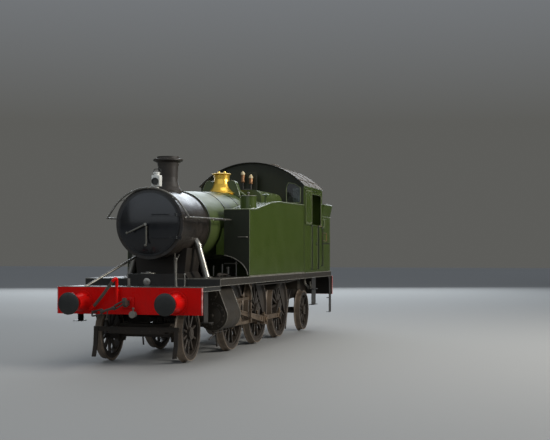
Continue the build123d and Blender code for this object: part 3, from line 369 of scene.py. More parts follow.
def mirrored(master: Piece, across: Across) -> Piece:
    """Make the mirror image of a piece, which stays.

    Args:
        master: The piece.
        across: Which way it is mirrored.

    Returns:
        The mirror image.
    """
    twin = master.copy()
    twin.data = master.data.copy()
    bpy.context.scene.collection.objects.link(twin)
    clear()
    twin.select_set(True)
    bpy.context.view_layer.objects.active = twin
    twin.scale = across.value
    bpy.ops.object.transform_apply(location=True, rotation=True, scale=True)
    with editing():
        bpy.ops.mesh.normals_make_consistent(inside=False)
    return twin


def spread(pieces: Sequence[Piece], *ways: Across) -> Piece:
    """Join pieces, each with its mirror image every way asked.

    Args:
        pieces: The pieces of one side or corner.
        ways: Which ways they are mirrored.

    Returns:
        One piece.
    """
    whole = joined(pieces)
    for way in ways:
        whole = joined([whole, mirrored(whole, way)])
    return whole


def joined(pieces: Sequence[Piece]) -> Piece:
    """Join pieces into one.

    Args:
        pieces: What is joined.

    Returns:
        The joined piece, with its place in its mesh.
    """
    clear()
    for piece in pieces:
        piece.select_set(True)
    bpy.context.view_layer.objects.active = pieces[0]
    if len(pieces) > 1:
        bpy.ops.object.join()
    bpy.ops.object.transform_apply(location=True, rotation=True, scale=True)
    return bpy.context.object


def around(master: Piece, turns: Sequence[float], centre: Point) -> Piece:
    """Repeat a piece round the lengthwise axis and carry the whole to its centre.

    Args:
        master: Piece modelled beside the axis.
        turns: Angle of each copy in degrees.
        centre: Where the axis goes.

    Returns:
        One piece with all the copies.
    """
    made = copies(master, [(0, 0, 0)] * (len(turns) - 1))
    for piece, turn in zip(made, turns):
        piece.rotation_euler.x = math.radians(turn)
        piece.location = centre
    return joined(made)


def heads(places: Run, axis: Axis, radius: float, height: float, sides: int = 8) -> Piece:
    """Rivet or bolt heads, modelled once and set at each place.

    Args:
        places: Where the heads stand.
        axis: Direction that they point in.
        radius: Radius at the foot.
        height: Height over the plate.
        sides: Faces round a head, six for a nut.

    Returns:
        One piece with all the heads.
    """
    top = 0.92 if sides == 6 else 0.62
    profile = ((-SUNK_HEAD, radius), (height * 0.55, radius * 0.95), (height, radius * top))
    first = places[0]
    master = turned(profile, first, axis, sides)
    rest = [tuple(b - a for a, b in zip(first, place)) for place in places[1:]]
    return joined(copies(master, rest))



# Finishes


@dataclass(frozen=True)
class Finish:
    """One paint, metal or glass: its colours, its gloss and how it is soiled."""

    name: str
    slot: str | None
    colour: Colour
    patch: Colour
    dirt: Colour = (0.07, 0.055, 0.04)
    metallic: float = 0.0
    roughness: float = 0.35
    soiled_roughness: float = 0.75
    coat: float = 0.0
    patch_scale: float = 2.5
    dirt_amount: float = 0.4
    dirt_low: float = 0.3
    dirt_high: float = 1.9
    grain_scale: float = 60.0
    grain_depth: float = 0.0006
    streaks: float = 0.2
    ring_centre: Point | None = None
    ring_inner: float = 0.0
    ring_outer: float = 0.0
    ring_colour: Colour = (0.24, 0.185, 0.135)
    clear: float = 0.0
    shine: float = 0.5


class Nodes:
    """Adds nodes to one tree, with a socket or a value on each input."""

    def __init__(self, tree: bpy.types.NodeTree) -> None:
        """Take the tree that nodes are added to."""
        self.tree = tree

    def feed(self, node: bpy.types.Node, inputs: dict[str | int, object]) -> None:
        """Link or set inputs of a node.

        Args:
            node: The node.
            inputs: Socket or value of each input, by name or number.
        """
        for key, value in inputs.items():
            if isinstance(value, bpy.types.NodeSocket):
                self.tree.links.new(value, node.inputs[key])
            else:
                node.inputs[key].default_value = value

    def add(self, kind: str, inputs: dict[str | int, object], **settings: object) -> bpy.types.Node:
        """Add a node.

        Args:
            kind: Its type, without its prefix.
            inputs: Socket or value of each input, by name or number.
            **settings: Its own settings.

        Returns:
            The node.
        """
        node = self.tree.nodes.new(f"ShaderNode{kind}")
        for name, value in settings.items():
            setattr(node, name, value)
        self.feed(node, inputs)
        return node

    def math(self, operation: str, *inputs: object, clamp: bool = False) -> bpy.types.NodeSocket:
        """Add a math node and give back what it puts out."""
        return self.add("Math", dict(enumerate(inputs)), operation=operation, use_clamp=clamp).outputs[0]

    def noise(
        self, place: object, scale: object, detail: float, roughness: float = 0.5,
    ) -> bpy.types.NodeSocket:
        """Add a noise pattern and give back its height."""
        given = {"Vector": place, "Scale": scale, "Detail": detail, "Roughness": roughness}
        return self.add("TexNoise", given).outputs["Fac"]

    def mix(self, mask: object, first: object, second: object) -> bpy.types.NodeSocket:
        """Mix two colours or colour sockets by a mask and give back the mixed colour."""
        pair = [(*colour, 1) if isinstance(colour, tuple) else colour for colour in (first, second)]
        return self.add("Mix", {"Factor": mask, 6: pair[0], 7: pair[1]}, data_type="RGBA").outputs[2]

    def group(self, tree: bpy.types.NodeTree, inputs: dict[str, object]) -> bpy.types.Node:
        """Place a node group and feed it, once its tree has given it its inputs."""
        return self.add("Group", inputs, node_tree=tree)


class FinishShop:
    """Makes materials from finishes, with the effects that they share as node groups."""

    # slope and foot of the clouds of dirt and of the streaks
    cloud_lift: tuple[float, float] = (2.4, -0.7)
    streak_lift: tuple[float, float] = (3.2, -1.55)
    patch_gloss: float = 0.22
    coat_roughness: float = 0.12
    bump_strength: float = 0.6

    def __init__(self) -> None:
        """Build the shared groups."""
        self.made: dict[str, bpy.types.Material] = {}
        self.patches = self._patches()
        self.grime = self._grime()
        self.ring = self._ring()

    @staticmethod
    def _begin(name: str, inputs: dict[str, float | None]) -> tuple[Nodes, bpy.types.NodeOutputs]:
        """Start a node group with named inputs.

        Args:
            name: Name of the group.
            inputs: First value of each input, None for a vector.

        Returns:
            The group's nodes and the sockets that its inputs come in by.
        """
        tree = bpy.data.node_groups.new(name, "ShaderNodeTree")
        for label, value in inputs.items():
            kind = "NodeSocketVector" if value is None else "NodeSocketFloat"
            socket = tree.interface.new_socket(name=label, in_out="INPUT", socket_type=kind)
            if value is not None:
                socket.default_value = value
        return Nodes(tree), tree.nodes.new("NodeGroupInput").outputs

    @staticmethod
    def _end(nodes: Nodes, outputs: dict[str, bpy.types.NodeSocket]) -> bpy.types.NodeTree:
        """Give a node group its named outputs.

        Args:
            nodes: The group's nodes.
            outputs: What each output puts out.

        Returns:
            The group.
        """
        for label in outputs:
            nodes.tree.interface.new_socket(name=label, in_out="OUTPUT", socket_type="NodeSocketFloat")
        nodes.feed(nodes.tree.nodes.new("NodeGroupOutput"), outputs)
        return nodes.tree

    def _patches(self) -> bpy.types.NodeTree:
        """Group that puts out soft patches and fine grain over a surface.

        Returns:
            The group.
        """
        given = {"Vector": None, "Patch Scale": 2.5, "Grain Scale": 60.0}
        nodes, come = self._begin("patches_and_grain", given)
        soft = nodes.noise(come["Vector"], come["Patch Scale"], 3, 0.62)
        ramp = nodes.add("MapRange", {"Value": soft, "From Min": 0.35, "From Max": 0.68})
        grain = nodes.noise(come["Vector"], come["Grain Scale"], 3)
        return self._end(nodes, {"Patches": ramp.outputs["Result"], "Grain": grain})

    def _grime(self) -> bpy.types.NodeTree:
        """Group that puts out a mask of dirt, thick low down and run down in streaks.

        Returns:
            The group.
        """
        given = {"Vector": None, "Low": 0.3, "High": 1.9, "Amount": 0.4, "Streaks": 0.2}
        nodes, come = self._begin("grime_and_streaks", given)
        height = nodes.add("SeparateXYZ", {0: come["Vector"]}).outputs["Z"]
        fall = nodes.add("MapRange", {"Value": height, "From Min": come["High"], "From Max": come["Low"]})
        cloud = nodes.math("MULTIPLY_ADD", nodes.noise(come["Vector"], 6, 4, 0.7), *self.cloud_lift)
        low_dirt = nodes.math("MULTIPLY", fall.outputs["Result"], cloud, clamp=True)
        low_dirt = nodes.math("MULTIPLY", low_dirt, come["Amount"])
        stretch = nodes.add("Mapping", {"Vector": come["Vector"], "Scale": (9, 9, 0.7)})
        runs = nodes.noise(stretch.outputs["Vector"], 1.6, 4)
        thin = nodes.math("MULTIPLY_ADD", runs, *self.streak_lift, clamp=True)
        streaks = nodes.math("MULTIPLY", thin, come["Streaks"])
        return self._end(nodes, {"Mask": nodes.math("ADD", low_dirt, streaks, clamp=True)})

    def _ring(self) -> bpy.types.NodeTree:
        """Group that puts out a mask between two radii round a cross axle.

        Returns:
            The group.
        """
        nodes, come = self._begin("ring_round_axle", {"Vector": None, "Inner": 0.4, "Outer": 0.5})
        flat = nodes.add("VectorMath", {0: come["Vector"], 1: (1, 0, 1)}, operation="MULTIPLY")
        reach = nodes.add("VectorMath", {0: flat.outputs[0]}, operation="LENGTH").outputs["Value"]
        past = nodes.math("GREATER_THAN", reach, come["Inner"])
        within = nodes.math("LESS_THAN", reach, come["Outer"])
        return self._end(nodes, {"Mask": nodes.math("MULTIPLY", past, within)})

    def material(self, finish: Finish) -> bpy.types.Material:
        """Make the material of a finish, or give it back if it was made before.

        Args:
            finish: What the surface is like.

        Returns:
            The material.
        """
        if finish.name in self.made:
            return self.made[finish.name]
        material = bpy.data.materials.new(finish.name)
        material.use_nodes = True
        nodes = Nodes(material.node_tree)
        place = nodes.add("TexCoord", {}).outputs["Object"]
        patches = nodes.group(self.patches, {
            "Vector": place, "Patch Scale": finish.patch_scale, "Grain Scale": finish.grain_scale,
        })
        grime = nodes.group(self.grime, {
            "Vector": place, "Low": finish.dirt_low, "High": finish.dirt_high,
            "Amount": finish.dirt_amount, "Streaks": finish.streaks,
        })
        soft, dirt = patches.outputs["Patches"], grime.outputs["Mask"]
        colour = nodes.mix(soft, finish.colour, finish.patch)
        if finish.ring_centre:
            centre = tuple(-c for c in finish.ring_centre)
            about = nodes.add("Mapping", {"Vector": place, "Location": centre}).outputs["Vector"]
            given = {"Vector": about, "Inner": finish.ring_inner, "Outer": finish.ring_outer}
            colour = nodes.mix(nodes.group(self.ring, given).outputs["Mask"], colour, finish.ring_colour)
        soil = nodes.math("MULTIPLY_ADD", soft, self.patch_gloss, dirt)
        gloss = nodes.add("MapRange", {
            "Value": soil, "To Min": finish.roughness, "To Max": finish.soiled_roughness,
        })
        bump = nodes.add("Bump", {
            "Height": patches.outputs["Grain"], "Strength": self.bump_strength,
            "Distance": finish.grain_depth,
        })
        nodes.feed(material.node_tree.nodes["Principled BSDF"], {
            "Base Color": nodes.mix(dirt, colour, finish.dirt),
            "Roughness": gloss.outputs["Result"],
            "Normal": bump.outputs["Normal"],
            "Metallic": finish.metallic,
            "Coat Weight": finish.coat,
            "Coat Roughness": self.coat_roughness,
            "Specular IOR Level": finish.shine,
            "Transmission Weight": finish.clear,
        })
        self.made[finish.name] = material
        return material

    def paint(self, piece: Piece, finish: Finish) -> None:
        """Give a piece the material of a finish and no other."""
        piece.data.materials.clear()
        piece.data.materials.append(self.material(finish))


GREEN = Finish(
    "green_gloss_paint", "green_paint", (0.05, 0.078, 0.0145), (0.055, 0.083, 0.0165), roughness=0.16,
    coat=0.2, dirt=(0.066, 0.06, 0.026), dirt_amount=0.22, dirt_high=2.2, dirt_low=1.2, streaks=0.05,
    grain_depth=0.000005, soiled_roughness=0.4,
)
BARREL = Finish(
    "weathered_green_paint", "green_paint", (0.05, 0.076, 0.016), (0.062, 0.086, 0.022), roughness=0.36,
    dirt=(0.06, 0.058, 0.034), dirt_amount=0.2, dirt_high=3.0, dirt_low=1.6, streaks=0.25,
    grain_depth=0.0001, soiled_roughness=0.55,
)
# Green darkened to paint the shade on forward-facing sheets (cab front, tank fronts, whistle shield); also
# used for the dark joint strips beside the cab and on the bunker
SHADED = Finish(
    "painted_shade_and_joint_green", "green_paint", (0.013, 0.017, 0.008), (0.019, 0.022, 0.011), roughness=0.42,
    dirt=(0.02, 0.018, 0.012), dirt_amount=0.5, dirt_high=2.6, dirt_low=1.3, streaks=0.3, shine=0.3,
)
BLACK = Finish(
    "black_gloss_paint", "black_paint", (0.012, 0.0115, 0.01), (0.018, 0.017, 0.015), roughness=0.3,
    coat=0.1, dirt=(0.04, 0.033, 0.024), dirt_amount=0.5, dirt_high=1.8, streaks=0.2, shine=0.4,
)
SOOT = Finish(
    "smokebox_black", "black_paint", (0.008, 0.0075, 0.007), (0.016, 0.011, 0.007), roughness=0.24,
    dirt=(0.019, 0.011, 0.0045), dirt_amount=0.95, dirt_high=2.9, dirt_low=2.1, streaks=0.3, coat=0.1,
    grain_depth=0.0012, grain_scale=22,
)
HOT = Finish(
    "heat_dulled_black", "black_paint", (0.02, 0.017, 0.014), (0.032, 0.026, 0.02), roughness=0.5,
    dirt=(0.05, 0.038, 0.026), dirt_amount=0.3, dirt_high=4.0, dirt_low=3.0, streaks=0.35, shine=0.4,
)
DOOR = Finish(
    "door_gloss_black", "black_paint", (0.005, 0.006, 0.008), (0.007, 0.008, 0.01), roughness=0.14,
    dirt=(0.012, 0.01, 0.007), dirt_amount=0.3, dirt_high=2.3, dirt_low=1.6, streaks=0.06, coat=0.35,
    grain_depth=0.0001, shine=0.4,
)
UNDER = Finish(
    "oily_underframe", "black_paint", (0.012, 0.01, 0.008), (0.022, 0.017, 0.012), roughness=0.5,
    dirt=(0.034, 0.025, 0.017), dirt_amount=0.75, dirt_high=1.5, streaks=0.3, grain_depth=0.0015, shine=0.3,
)
MUDDY = Finish(
    "dusty_brown_black", "black_paint", (0.017, 0.015, 0.011), (0.028, 0.023, 0.016), roughness=0.42,
    dirt=(0.046, 0.036, 0.025), dirt_amount=0.8, dirt_high=1.6, streaks=0.35, grain_depth=0.0012, shine=0.35,
)
RED = Finish(
    "red_gloss_paint", "red_paint", (0.66, 0.004, 0.003), (0.58, 0.006, 0.004), roughness=0.25,
    dirt=(0.16, 0.01, 0.008), dirt_amount=0.4, dirt_high=1.2, dirt_low=0.8, streaks=0.1, shine=0.12,
)
# Red with pale pink patches: partly worn paint, partly a painted highlight along the beams' ends
RUBBED_HIGHLIT = Finish(
    "rubbed_and_highlit_red_edges", "red_paint", (0.4, 0.06, 0.055), (0.66, 0.36, 0.34), roughness=0.4,
    dirt=(0.16, 0.04, 0.03), dirt_amount=0.5, dirt_high=1.2, dirt_low=0.8, streaks=0.3,
    patch_scale=7, shine=0.3,
)
STEEL = Finish(
    "oiled_bright_steel", "bright_steel", (0.34, 0.33, 0.3), (0.24, 0.23, 0.2), roughness=0.28,
    metallic=0.85, dirt=(0.1, 0.08, 0.055), dirt_amount=0.45, dirt_high=1.3, streaks=0.1,
)
RODS = Finish(
    "oiled_rod_steel", "bright_steel", (0.3, 0.22, 0.15), (0.15, 0.11, 0.075), roughness=0.3,
    metallic=0.7, dirt=(0.06, 0.045, 0.03), dirt_amount=0.7, dirt_high=1.3, streaks=0.15,
)
WORN = Finish(
    "worn_pale_edges", "bright_steel", (0.21, 0.2, 0.17), (0.12, 0.11, 0.09), roughness=0.45,
    metallic=0.2, dirt=(0.09, 0.075, 0.055), dirt_amount=0.3, dirt_high=1.5, streaks=0.35, patch_scale=8,
)
IRON = Finish(
    "forged_iron", "dark_iron", (0.04, 0.037, 0.034), (0.065, 0.055, 0.045), roughness=0.5,
    metallic=0.3, dirt=(0.08, 0.06, 0.04), dirt_amount=0.4, streaks=0.2, grain_depth=0.0015,
)
GREASED = Finish(
    "greased_dark_steel", "dark_iron", (0.02, 0.022, 0.021), (0.034, 0.035, 0.032), roughness=0.3,
    metallic=0.4, dirt=(0.012, 0.012, 0.012), dirt_amount=0.2, streaks=0.3,
)
BRASS = Finish(
    "polished_brass", "polished_brass", (0.96, 0.64, 0.1), (0.88, 0.55, 0.08), roughness=0.27,
    metallic=0.8, dirt=(0.35, 0.2, 0.05), dirt_amount=0.0, streaks=0.12, grain_depth=0.0002,
    soiled_roughness=0.45,
)
BEADING = Finish(
    "pale_green_beading", "green_paint", (0.13, 0.155, 0.075), (0.1, 0.12, 0.055), roughness=0.25,
    coat=0.3, dirt=(0.07, 0.065, 0.04), dirt_amount=0.3, dirt_high=2.0, streaks=0.3, patch_scale=9,
)
SCALED = Finish(
    "steam_scaled_brass", "polished_brass", (0.62, 0.54, 0.36), (0.5, 0.38, 0.2), roughness=0.5,
    metallic=0.2, dirt=(0.2, 0.12, 0.06), dirt_amount=0.0, streaks=0.3, patch_scale=14,
)
RAILS = Finish(
    "dull_rail_steel", "bright_steel", (0.17, 0.165, 0.14), (0.11, 0.1, 0.085), roughness=0.3,
    metallic=0.5, dirt=(0.06, 0.05, 0.035), dirt_amount=0.3, streaks=0.2,
)
COPPER = Finish(
    "browned_copper", "polished_brass", (0.2, 0.1, 0.05), (0.28, 0.15, 0.07), roughness=0.35,
    metallic=0.8, dirt=(0.1, 0.05, 0.03), dirt_amount=0.2, streaks=0.3, patch_scale=9,
)
ROOF = Finish(
    "roof_grey_paint", "roof_paint", (0.1, 0.088, 0.074), (0.12, 0.105, 0.088), roughness=0.6,
    dirt=(0.14, 0.12, 0.1), dirt_amount=0.0, streaks=0.03, shine=0.3, grain_depth=0.00008, patch_scale=1.1,
)
WHITE = Finish(
    "white_paint", "white_paint", (0.8, 0.8, 0.76), (0.68, 0.68, 0.63), roughness=0.35,
    dirt=(0.22, 0.19, 0.15), dirt_amount=0.1, streaks=0.12,
)
BOARDS = Finish(
    "worn_boards", "floor_wood", (0.16, 0.1, 0.06), (0.1, 0.06, 0.035), roughness=0.7,
    dirt=(0.04, 0.03, 0.02), dirt_amount=0.3, dirt_high=1.6, streaks=0.2, grain_depth=0.002, grain_scale=25,
)
GLASS = Finish(
    "window_glass", None, (0.1, 0.115, 0.11), (0.075, 0.085, 0.08), roughness=0.03, soiled_roughness=0.25,
    dirt=(0.12, 0.115, 0.1), dirt_amount=0.0, streaks=0.25, grain_depth=0.0001, clear=0.9, shine=0.2,
)
HOSE = Finish(
    "ribbed_hose", "hose_rubber", (0.06, 0.046, 0.034), (0.085, 0.066, 0.048), roughness=0.7,
    dirt=(0.1, 0.08, 0.06), dirt_amount=0.3, streaks=0.2, grain_depth=0.003, grain_scale=45, patch_scale=12,
)


SHOP = FinishShop()


def dress(piece: Piece, name: str, finish: Finish, body: str = "engine", instead: str = "") -> None:
    """Name a new piece, give it its finish and let it ride on its body.

    Args:
        piece: The finished piece.
        name: Its name.
        finish: Its finish.
        body: The body that carries it.
        instead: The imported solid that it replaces, if any.
    """
    piece.name = piece.data.name = name
    SHOP.paint(piece, finish)
    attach(piece, body)
    if instead:
        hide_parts(instead)
    log.info("%s rides on %s", name, body)


def fit(name: str, finish: Finish, pieces: Sequence[Piece], *ways: Across, **given: str) -> None:
    """Join pieces into one, with its mirror images, and dress it.

    Args:
        name: Name of the whole.
        finish: Its finish.
        pieces: The pieces of one side or corner.
        *ways: Which ways they are mirrored.
        **given: Its body and what it replaces, as dress takes them.
    """
    dress(spread(pieces, *ways), name, finish, **given)


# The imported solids


@dataclass(frozen=True)
class Axle:
    """One wheelset: its place along the engine and its sizes."""

    name: str
    x: float
    tread: float
    hub: float
    hub_face: float
    tyre_inside: float = 0.016
    flange_past: float = 0.05

    @property
    def paint(self) -> Finish:
        """Black wheel with worn steel on its tyre.

        Returns:
            The wheelset's finish.
        """
        return Finish(
            f"{self.name}_wheelset_paint", "wheel_paint", (0.016, 0.014, 0.012), (0.032, 0.026, 0.02),
            dirt=(0.07, 0.05, 0.034), roughness=0.42, dirt_amount=0.6, dirt_high=1.5, streaks=0.15,
            ring_centre=(self.x, 0, up(self.tread)), ring_inner=self.tread - self.tyre_inside,
            ring_outer=self.tread + self.flange_past, grain_depth=0.0012,
        )


AXLES = (
    Axle("leading", 4.12, 0.4825, 0.11, 0.826),
    Axle("front_coupled", 1.758, 0.705, 0.135, 0.83),
    Axle("driving", 0.005, 0.705, 0.135, 0.83),
    Axle("rear_coupled", -1.748, 0.705, 0.135, 0.83),
    Axle("trailing", -4.059, 0.4825, 0.11, 0.826),
)
COUPLED = AXLES[1:4]


@dataclass
class PackedSolids:
    """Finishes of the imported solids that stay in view."""

    finishes: tuple[tuple[Finish, tuple[str, ...]], ...] = (
        (BARREL, ("boiler_barrel", "firebox", "top_feed")),
        (GREEN, (
            "side_tanks", "cab_sides", "cab_back", "bunker", "tank_lid_left", "tank_lid_right",
            "cab_shutter_left", "cab_shutter_right", "cab_door_left", "cab_door_right",
        )),
        (BLACK, ("front_platform", "backhead", "steps")),
        (MUDDY, ("running_plates", "cylinders", "sandboxes")),
        (SOOT, ("smokebox", "smokebox_front")),
        (HOT, ("chimney",)),
        (DOOR, ("smokebox_door",)),
        # cab_front takes the darkened green: painted shade on the forward-facing sheet
        (SHADED, ("cab_front",)),
        (UNDER, ("saddle", "frame_plates", "frame_stretchers", "axleboxes", "brake_gear", "leading_truck")),
        (RED, ("buffer_beam_front", "buffer_beam_rear", "buffers", "vacuum_pipes")),
        (STEEL, ("steam_pipes",)),
        (RAILS, ("handrails", "smokebox_stays")),
        (RODS, (
            "crosshead_left", "crosshead_right", "connecting_rod_left", "connecting_rod_right",
            "coupling_rod_left", "coupling_rod_right", "slide_bars",
        )),
        (IRON, ("drawgear",)),
        (BRASS, ("safety_valve_bonnet", "whistles")),
        (ROOF, ("cab_roof",)),
        (WHITE, ("headlamp",)),
        (BOARDS, ("cab_floor",)),
    )

    def build(self) -> None:
        """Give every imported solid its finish."""
        table = [*self.finishes, *[(axle.paint, (f"{axle.name}_wheelset",)) for axle in AXLES]]
        for finish, nodes in table:
            for node in nodes:
                SHOP.paint(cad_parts[node], finish)
        log.info("%d packed solids are in the frame", len(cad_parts))


# Ends


@dataclass
class Ends:
    """Buffers, drawgear and beam trim, modelled at the front left and spread to the other corners."""

    buffer_y: float = 0.87
    buffer_z: float = up(1.055)
    # distance from the beam, radius
    stock: Pairs = (
        (0, 0.205), (0.017, 0.205), (0.022, 0.199), (0.022, 0.172), (0.035, 0.165), (0.27, 0.121),
        (0.276, 0.128), (0.304, 0.128), (0.308, 0.122), (0.308, 0.082),
    )
    ram: Pairs = (
        (0.295, 0.073), (0.462, 0.073), (0.476, 0.088), (0.498, 0.172), (0.5025, 0.187), (0.508, 0.19),
        (0.5175, 0.19), (0.5215, 0.184), (0.529, 0.135), (0.533, 0.06), (0.5335, 0.01),
    )
    bolt_half: float = 0.133
    bolt_foot: float = 0.021
    rivet_first: float = 0.08
    rivet_gap: float = 0.165
    iron_height: float = 0.15
    hook_reach: float = 0.165
    # along from the hook's eye, Y and height over the rail
    links: tuple[Run, ...] = (
        ((0, 0.05, 1.13), (0.035, -0.165, 1.015), (0.035, -0.195, 0.935), (0, -0.05, 1.02)),
        ((0.04, -0.375, 0.955), (0.02, -0.575, 0.905), (0.02, -0.6, 0.825), (0.04, -0.405, 0.865)),
    )
    screw: Run = ((0.035, -0.15, 0.985), (0.042, -0.425, 0.9))
    screw_nuts: tuple[Run, ...] = (
        ((0.035, -0.158, 0.982), (0.035, -0.208, 0.967)),
        ((0.035, -0.372, 0.917), (0.035, -0.422, 0.902)),
    )
    lever: Run = ((0.04, -0.285, 0.945), (0.04, -0.315, 0.8))
    knob_place: Point = (0.04, -0.317, 0.8)
    knob: Pairs = ((0, 0.012), (0.008, 0.024), (0.024, 0.024), (0.034, 0.012))
    coupling_rest: Run = ((-0.165, -0.585, 0.885), (0.03, -0.585, 0.885), (0.03, -0.585, 0.925))
    # Y from and to and height from and to of the plates round the hook
    hook_frame: tuple[tuple[float, ...], ...] = (
        (-0.111, -0.031, 0.959, 1.151), (0.031, 0.111, 0.959, 1.151),
        (-0.033, 0.033, 0.959, 1.012), (-0.033, 0.033, 1.096, 1.151),
    )
    hook_proud: float = 0.023
    cock: Pairs = (
        (-0.02, 0.03), (0.035, 0.03), (0.04, 0.052), (0.055, 0.052), (0.06, 0.038), (0.115, 0.038),
        (0.12, 0.06), (0.135, 0.06), (0.14, 0.04),
    )
    spindle: Pairs = ((0, 0.014), (0.07, 0.014), (0.072, 0.024), (0.085, 0.024))

    def build(self) -> None:
        """Model the fittings of both ends."""
        self.low, self.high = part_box("buffer_beam_front")
        self._buffers()
        self._beam_trim()
        self._coupling()
        self._hook_plates()
        self._irons_and_backs()
        self._steam_cock()

    def _buffers(self) -> None:
        """Model the tapered stocks with their bolts, and the rams and heads."""
        y, z = self.buffer_y, self.buffer_z
        centre = (self.high.x, y, z)
        half = self.bolt_half
        bolts = [(self.high.x + self.bolt_foot, y + half * a, z + half * b) for a in (-1, 1) for b in (-1, 1)]
        stock = [turned(self.stock, centre, FRONT, 48), heads(bolts, FRONT, 0.018, 0.018, 6)]
        fit("buffer_stocks", RED, stock, SIDES, ENDS, instead="buffers")
        ram = [turned(self.ram, centre, FRONT, 48)]
        fit("buffer_heads", GREASED, ram, SIDES, ENDS, instead="buffers")

    def _beam_trim(self) -> None:
        """Model the beams' rivets, the pale end strips, whose pink patches paint the highlight on the beams'
        ends as well as wear, and the angle along the platform's edge.
        """
        low, high = self.low, self.high
        count = round((high.y - 0.05) / self.rivet_gap)
        rows = (low.z + 0.045, high.z - 0.035)
        rivets = [(high.x, self.rivet_first + self.rivet_gap * k, z) for k in range(count) for z in rows]
        fit("beam_rivets", RED, [heads(rivets, FRONT, 0.011, 0.007)], SIDES, ENDS)
        ends = [
            block((low.x, high.y - 0.001, low.z), (high.x + 0.001, high.y + 0.004, high.z), 0.001, 1),
            block(
                (high.x - 0.04, high.y - 0.01, low.z + 0.002),
                (high.x + 0.003, high.y + 0.001, high.z - 0.002), 0.001, 1,
            ),
        ]
        # End strips: worn red with a painted highlight
        fit("beam_end_strips", RUBBED_HIGHLIT, ends, SIDES, ENDS)
        angle = ((high.x - 0.06, 0, high.z - 0.001), (high.x + 0.004, high.y - 0.015, high.z + 0.01))
        fit("platform_edge_angle", WORN, [block(*angle, 0.002)], SIDES)

    def _coupling(self) -> None:
        """Model the screw coupling, drawn aside from the hook to its rest on the beam."""
        x = self.high.x + self.hook_reach
        pieces = [pipe(lifted(run, x), 0.015, 0.03, closed=True) for run in self.links]
        pieces.append(pipe(lifted(self.screw, x), 0.022, facets=2))
        pieces += [pipe(lifted(run, x), 0.034, facets=1) for run in self.screw_nuts]
        pieces.append(pipe(lifted(self.lever, x), 0.01))
        pieces.append(turned(self.knob, lifted([self.knob_place], x)[0], DOWN, 16))
        pieces.append(pipe(lifted(self.coupling_rest, x), 0.012, 0.02))
        fit("screw_couplings", IRON, pieces, ENDS)

    def _hook_plates(self) -> None:
        """Model the red plates that stand round the drawhooks."""
        face = self.high.x
        proud = face + self.hook_proud
        pieces = [block((face, a, up(c)), (proud, b, up(d)), 0.005) for a, b, c, d in self.hook_frame]
        bolts = [(proud, y, z) for y in (-0.08, 0.08) for z in (up(0.959) + 0.03, up(1.151) - 0.03)]
        fit("drawhook_plates", RED, [*pieces, heads(bolts, FRONT, 0.014, 0.01, 6)], ENDS)

    def _irons_and_backs(self) -> None:
        """Model the lamp irons that stand on the beams and the dark backs of the beams."""
        x, y, z = self.high
        irons = [
            block((x - 0.02, -0.022, z), (x - 0.01, 0.022, z + self.iron_height), 0.002),
            block((x - 0.055, -0.03, z + 0.005), (x - 0.008, 0.03, z + 0.016), 0.002),
        ]
        fit("lamp_irons", WORN, irons, ENDS)
        back = block((x - 0.043, 0, z - 0.46), (x - 0.0385, y - 0.002, z - 0.002), 0.001, 1)
        fit("beam_backs", BLACK, [back], SIDES, ENDS)

    def _steam_cock(self) -> None:
        """Model the heating pipe's cock under the drawhook."""
        x, y, z = self.high.x, 0.125, self.low.z + 0.005
        cock = turned(self.cock, (x, y, z), FRONT, 24)
        spindle = turned(self.spindle, (x + 0.085, y, z + 0.03), UP, 16)
        fit("heating_cocks", WORN, [cock, spindle], ENDS)


@dataclass
class VacuumHoses:
    """Ribbed rubber hoses that hang from the standpipes to their plugs."""

    diameter: float = 0.054
    length: float = 0.553
    route: Run = (
        (5.151, -0.236, up(1.422)),
        (5.153, -0.346, up(1.273)),
        (5.142, -0.468, up(1.125)),
        (5.12, -0.59, up(1.0)),
    )

    def build(self) -> None:
        """Model both hoses."""
        for end, sign in (("front", 1), ("rear", -1)):
            route = [(sign * x, y, z) for x, y, z in self.route]
            hose = self._hose(route)
            dress(hose, f"vacuum_hose_{end}_rubber", HOSE, instead=f"vacuum_hose_{end}")

    def _hose(self, route: Run) -> Piece:
        """Draw one hose as a smooth curve.

        Args:
            route: Points that it hangs through.

        Returns:
            The curve.
        """
        clear()
        bpy.ops.curve.primitive_nurbs_path_add()
        piece = bpy.context.object
        curve = piece.data
        curve.splines.clear()
        spline = curve.splines.new("NURBS")
        spline.points.add(len(route) - 1)
        for point, place in zip(spline.points, route):
            point.co = (*place, 1)
        spline.order_u = 3
        spline.use_endpoint_u = True
        curve.dimensions = "3D"
        curve.bevel_depth = self.diameter / 2
        curve.bevel_resolution = 6
        curve.resolution_u = 24
        return piece


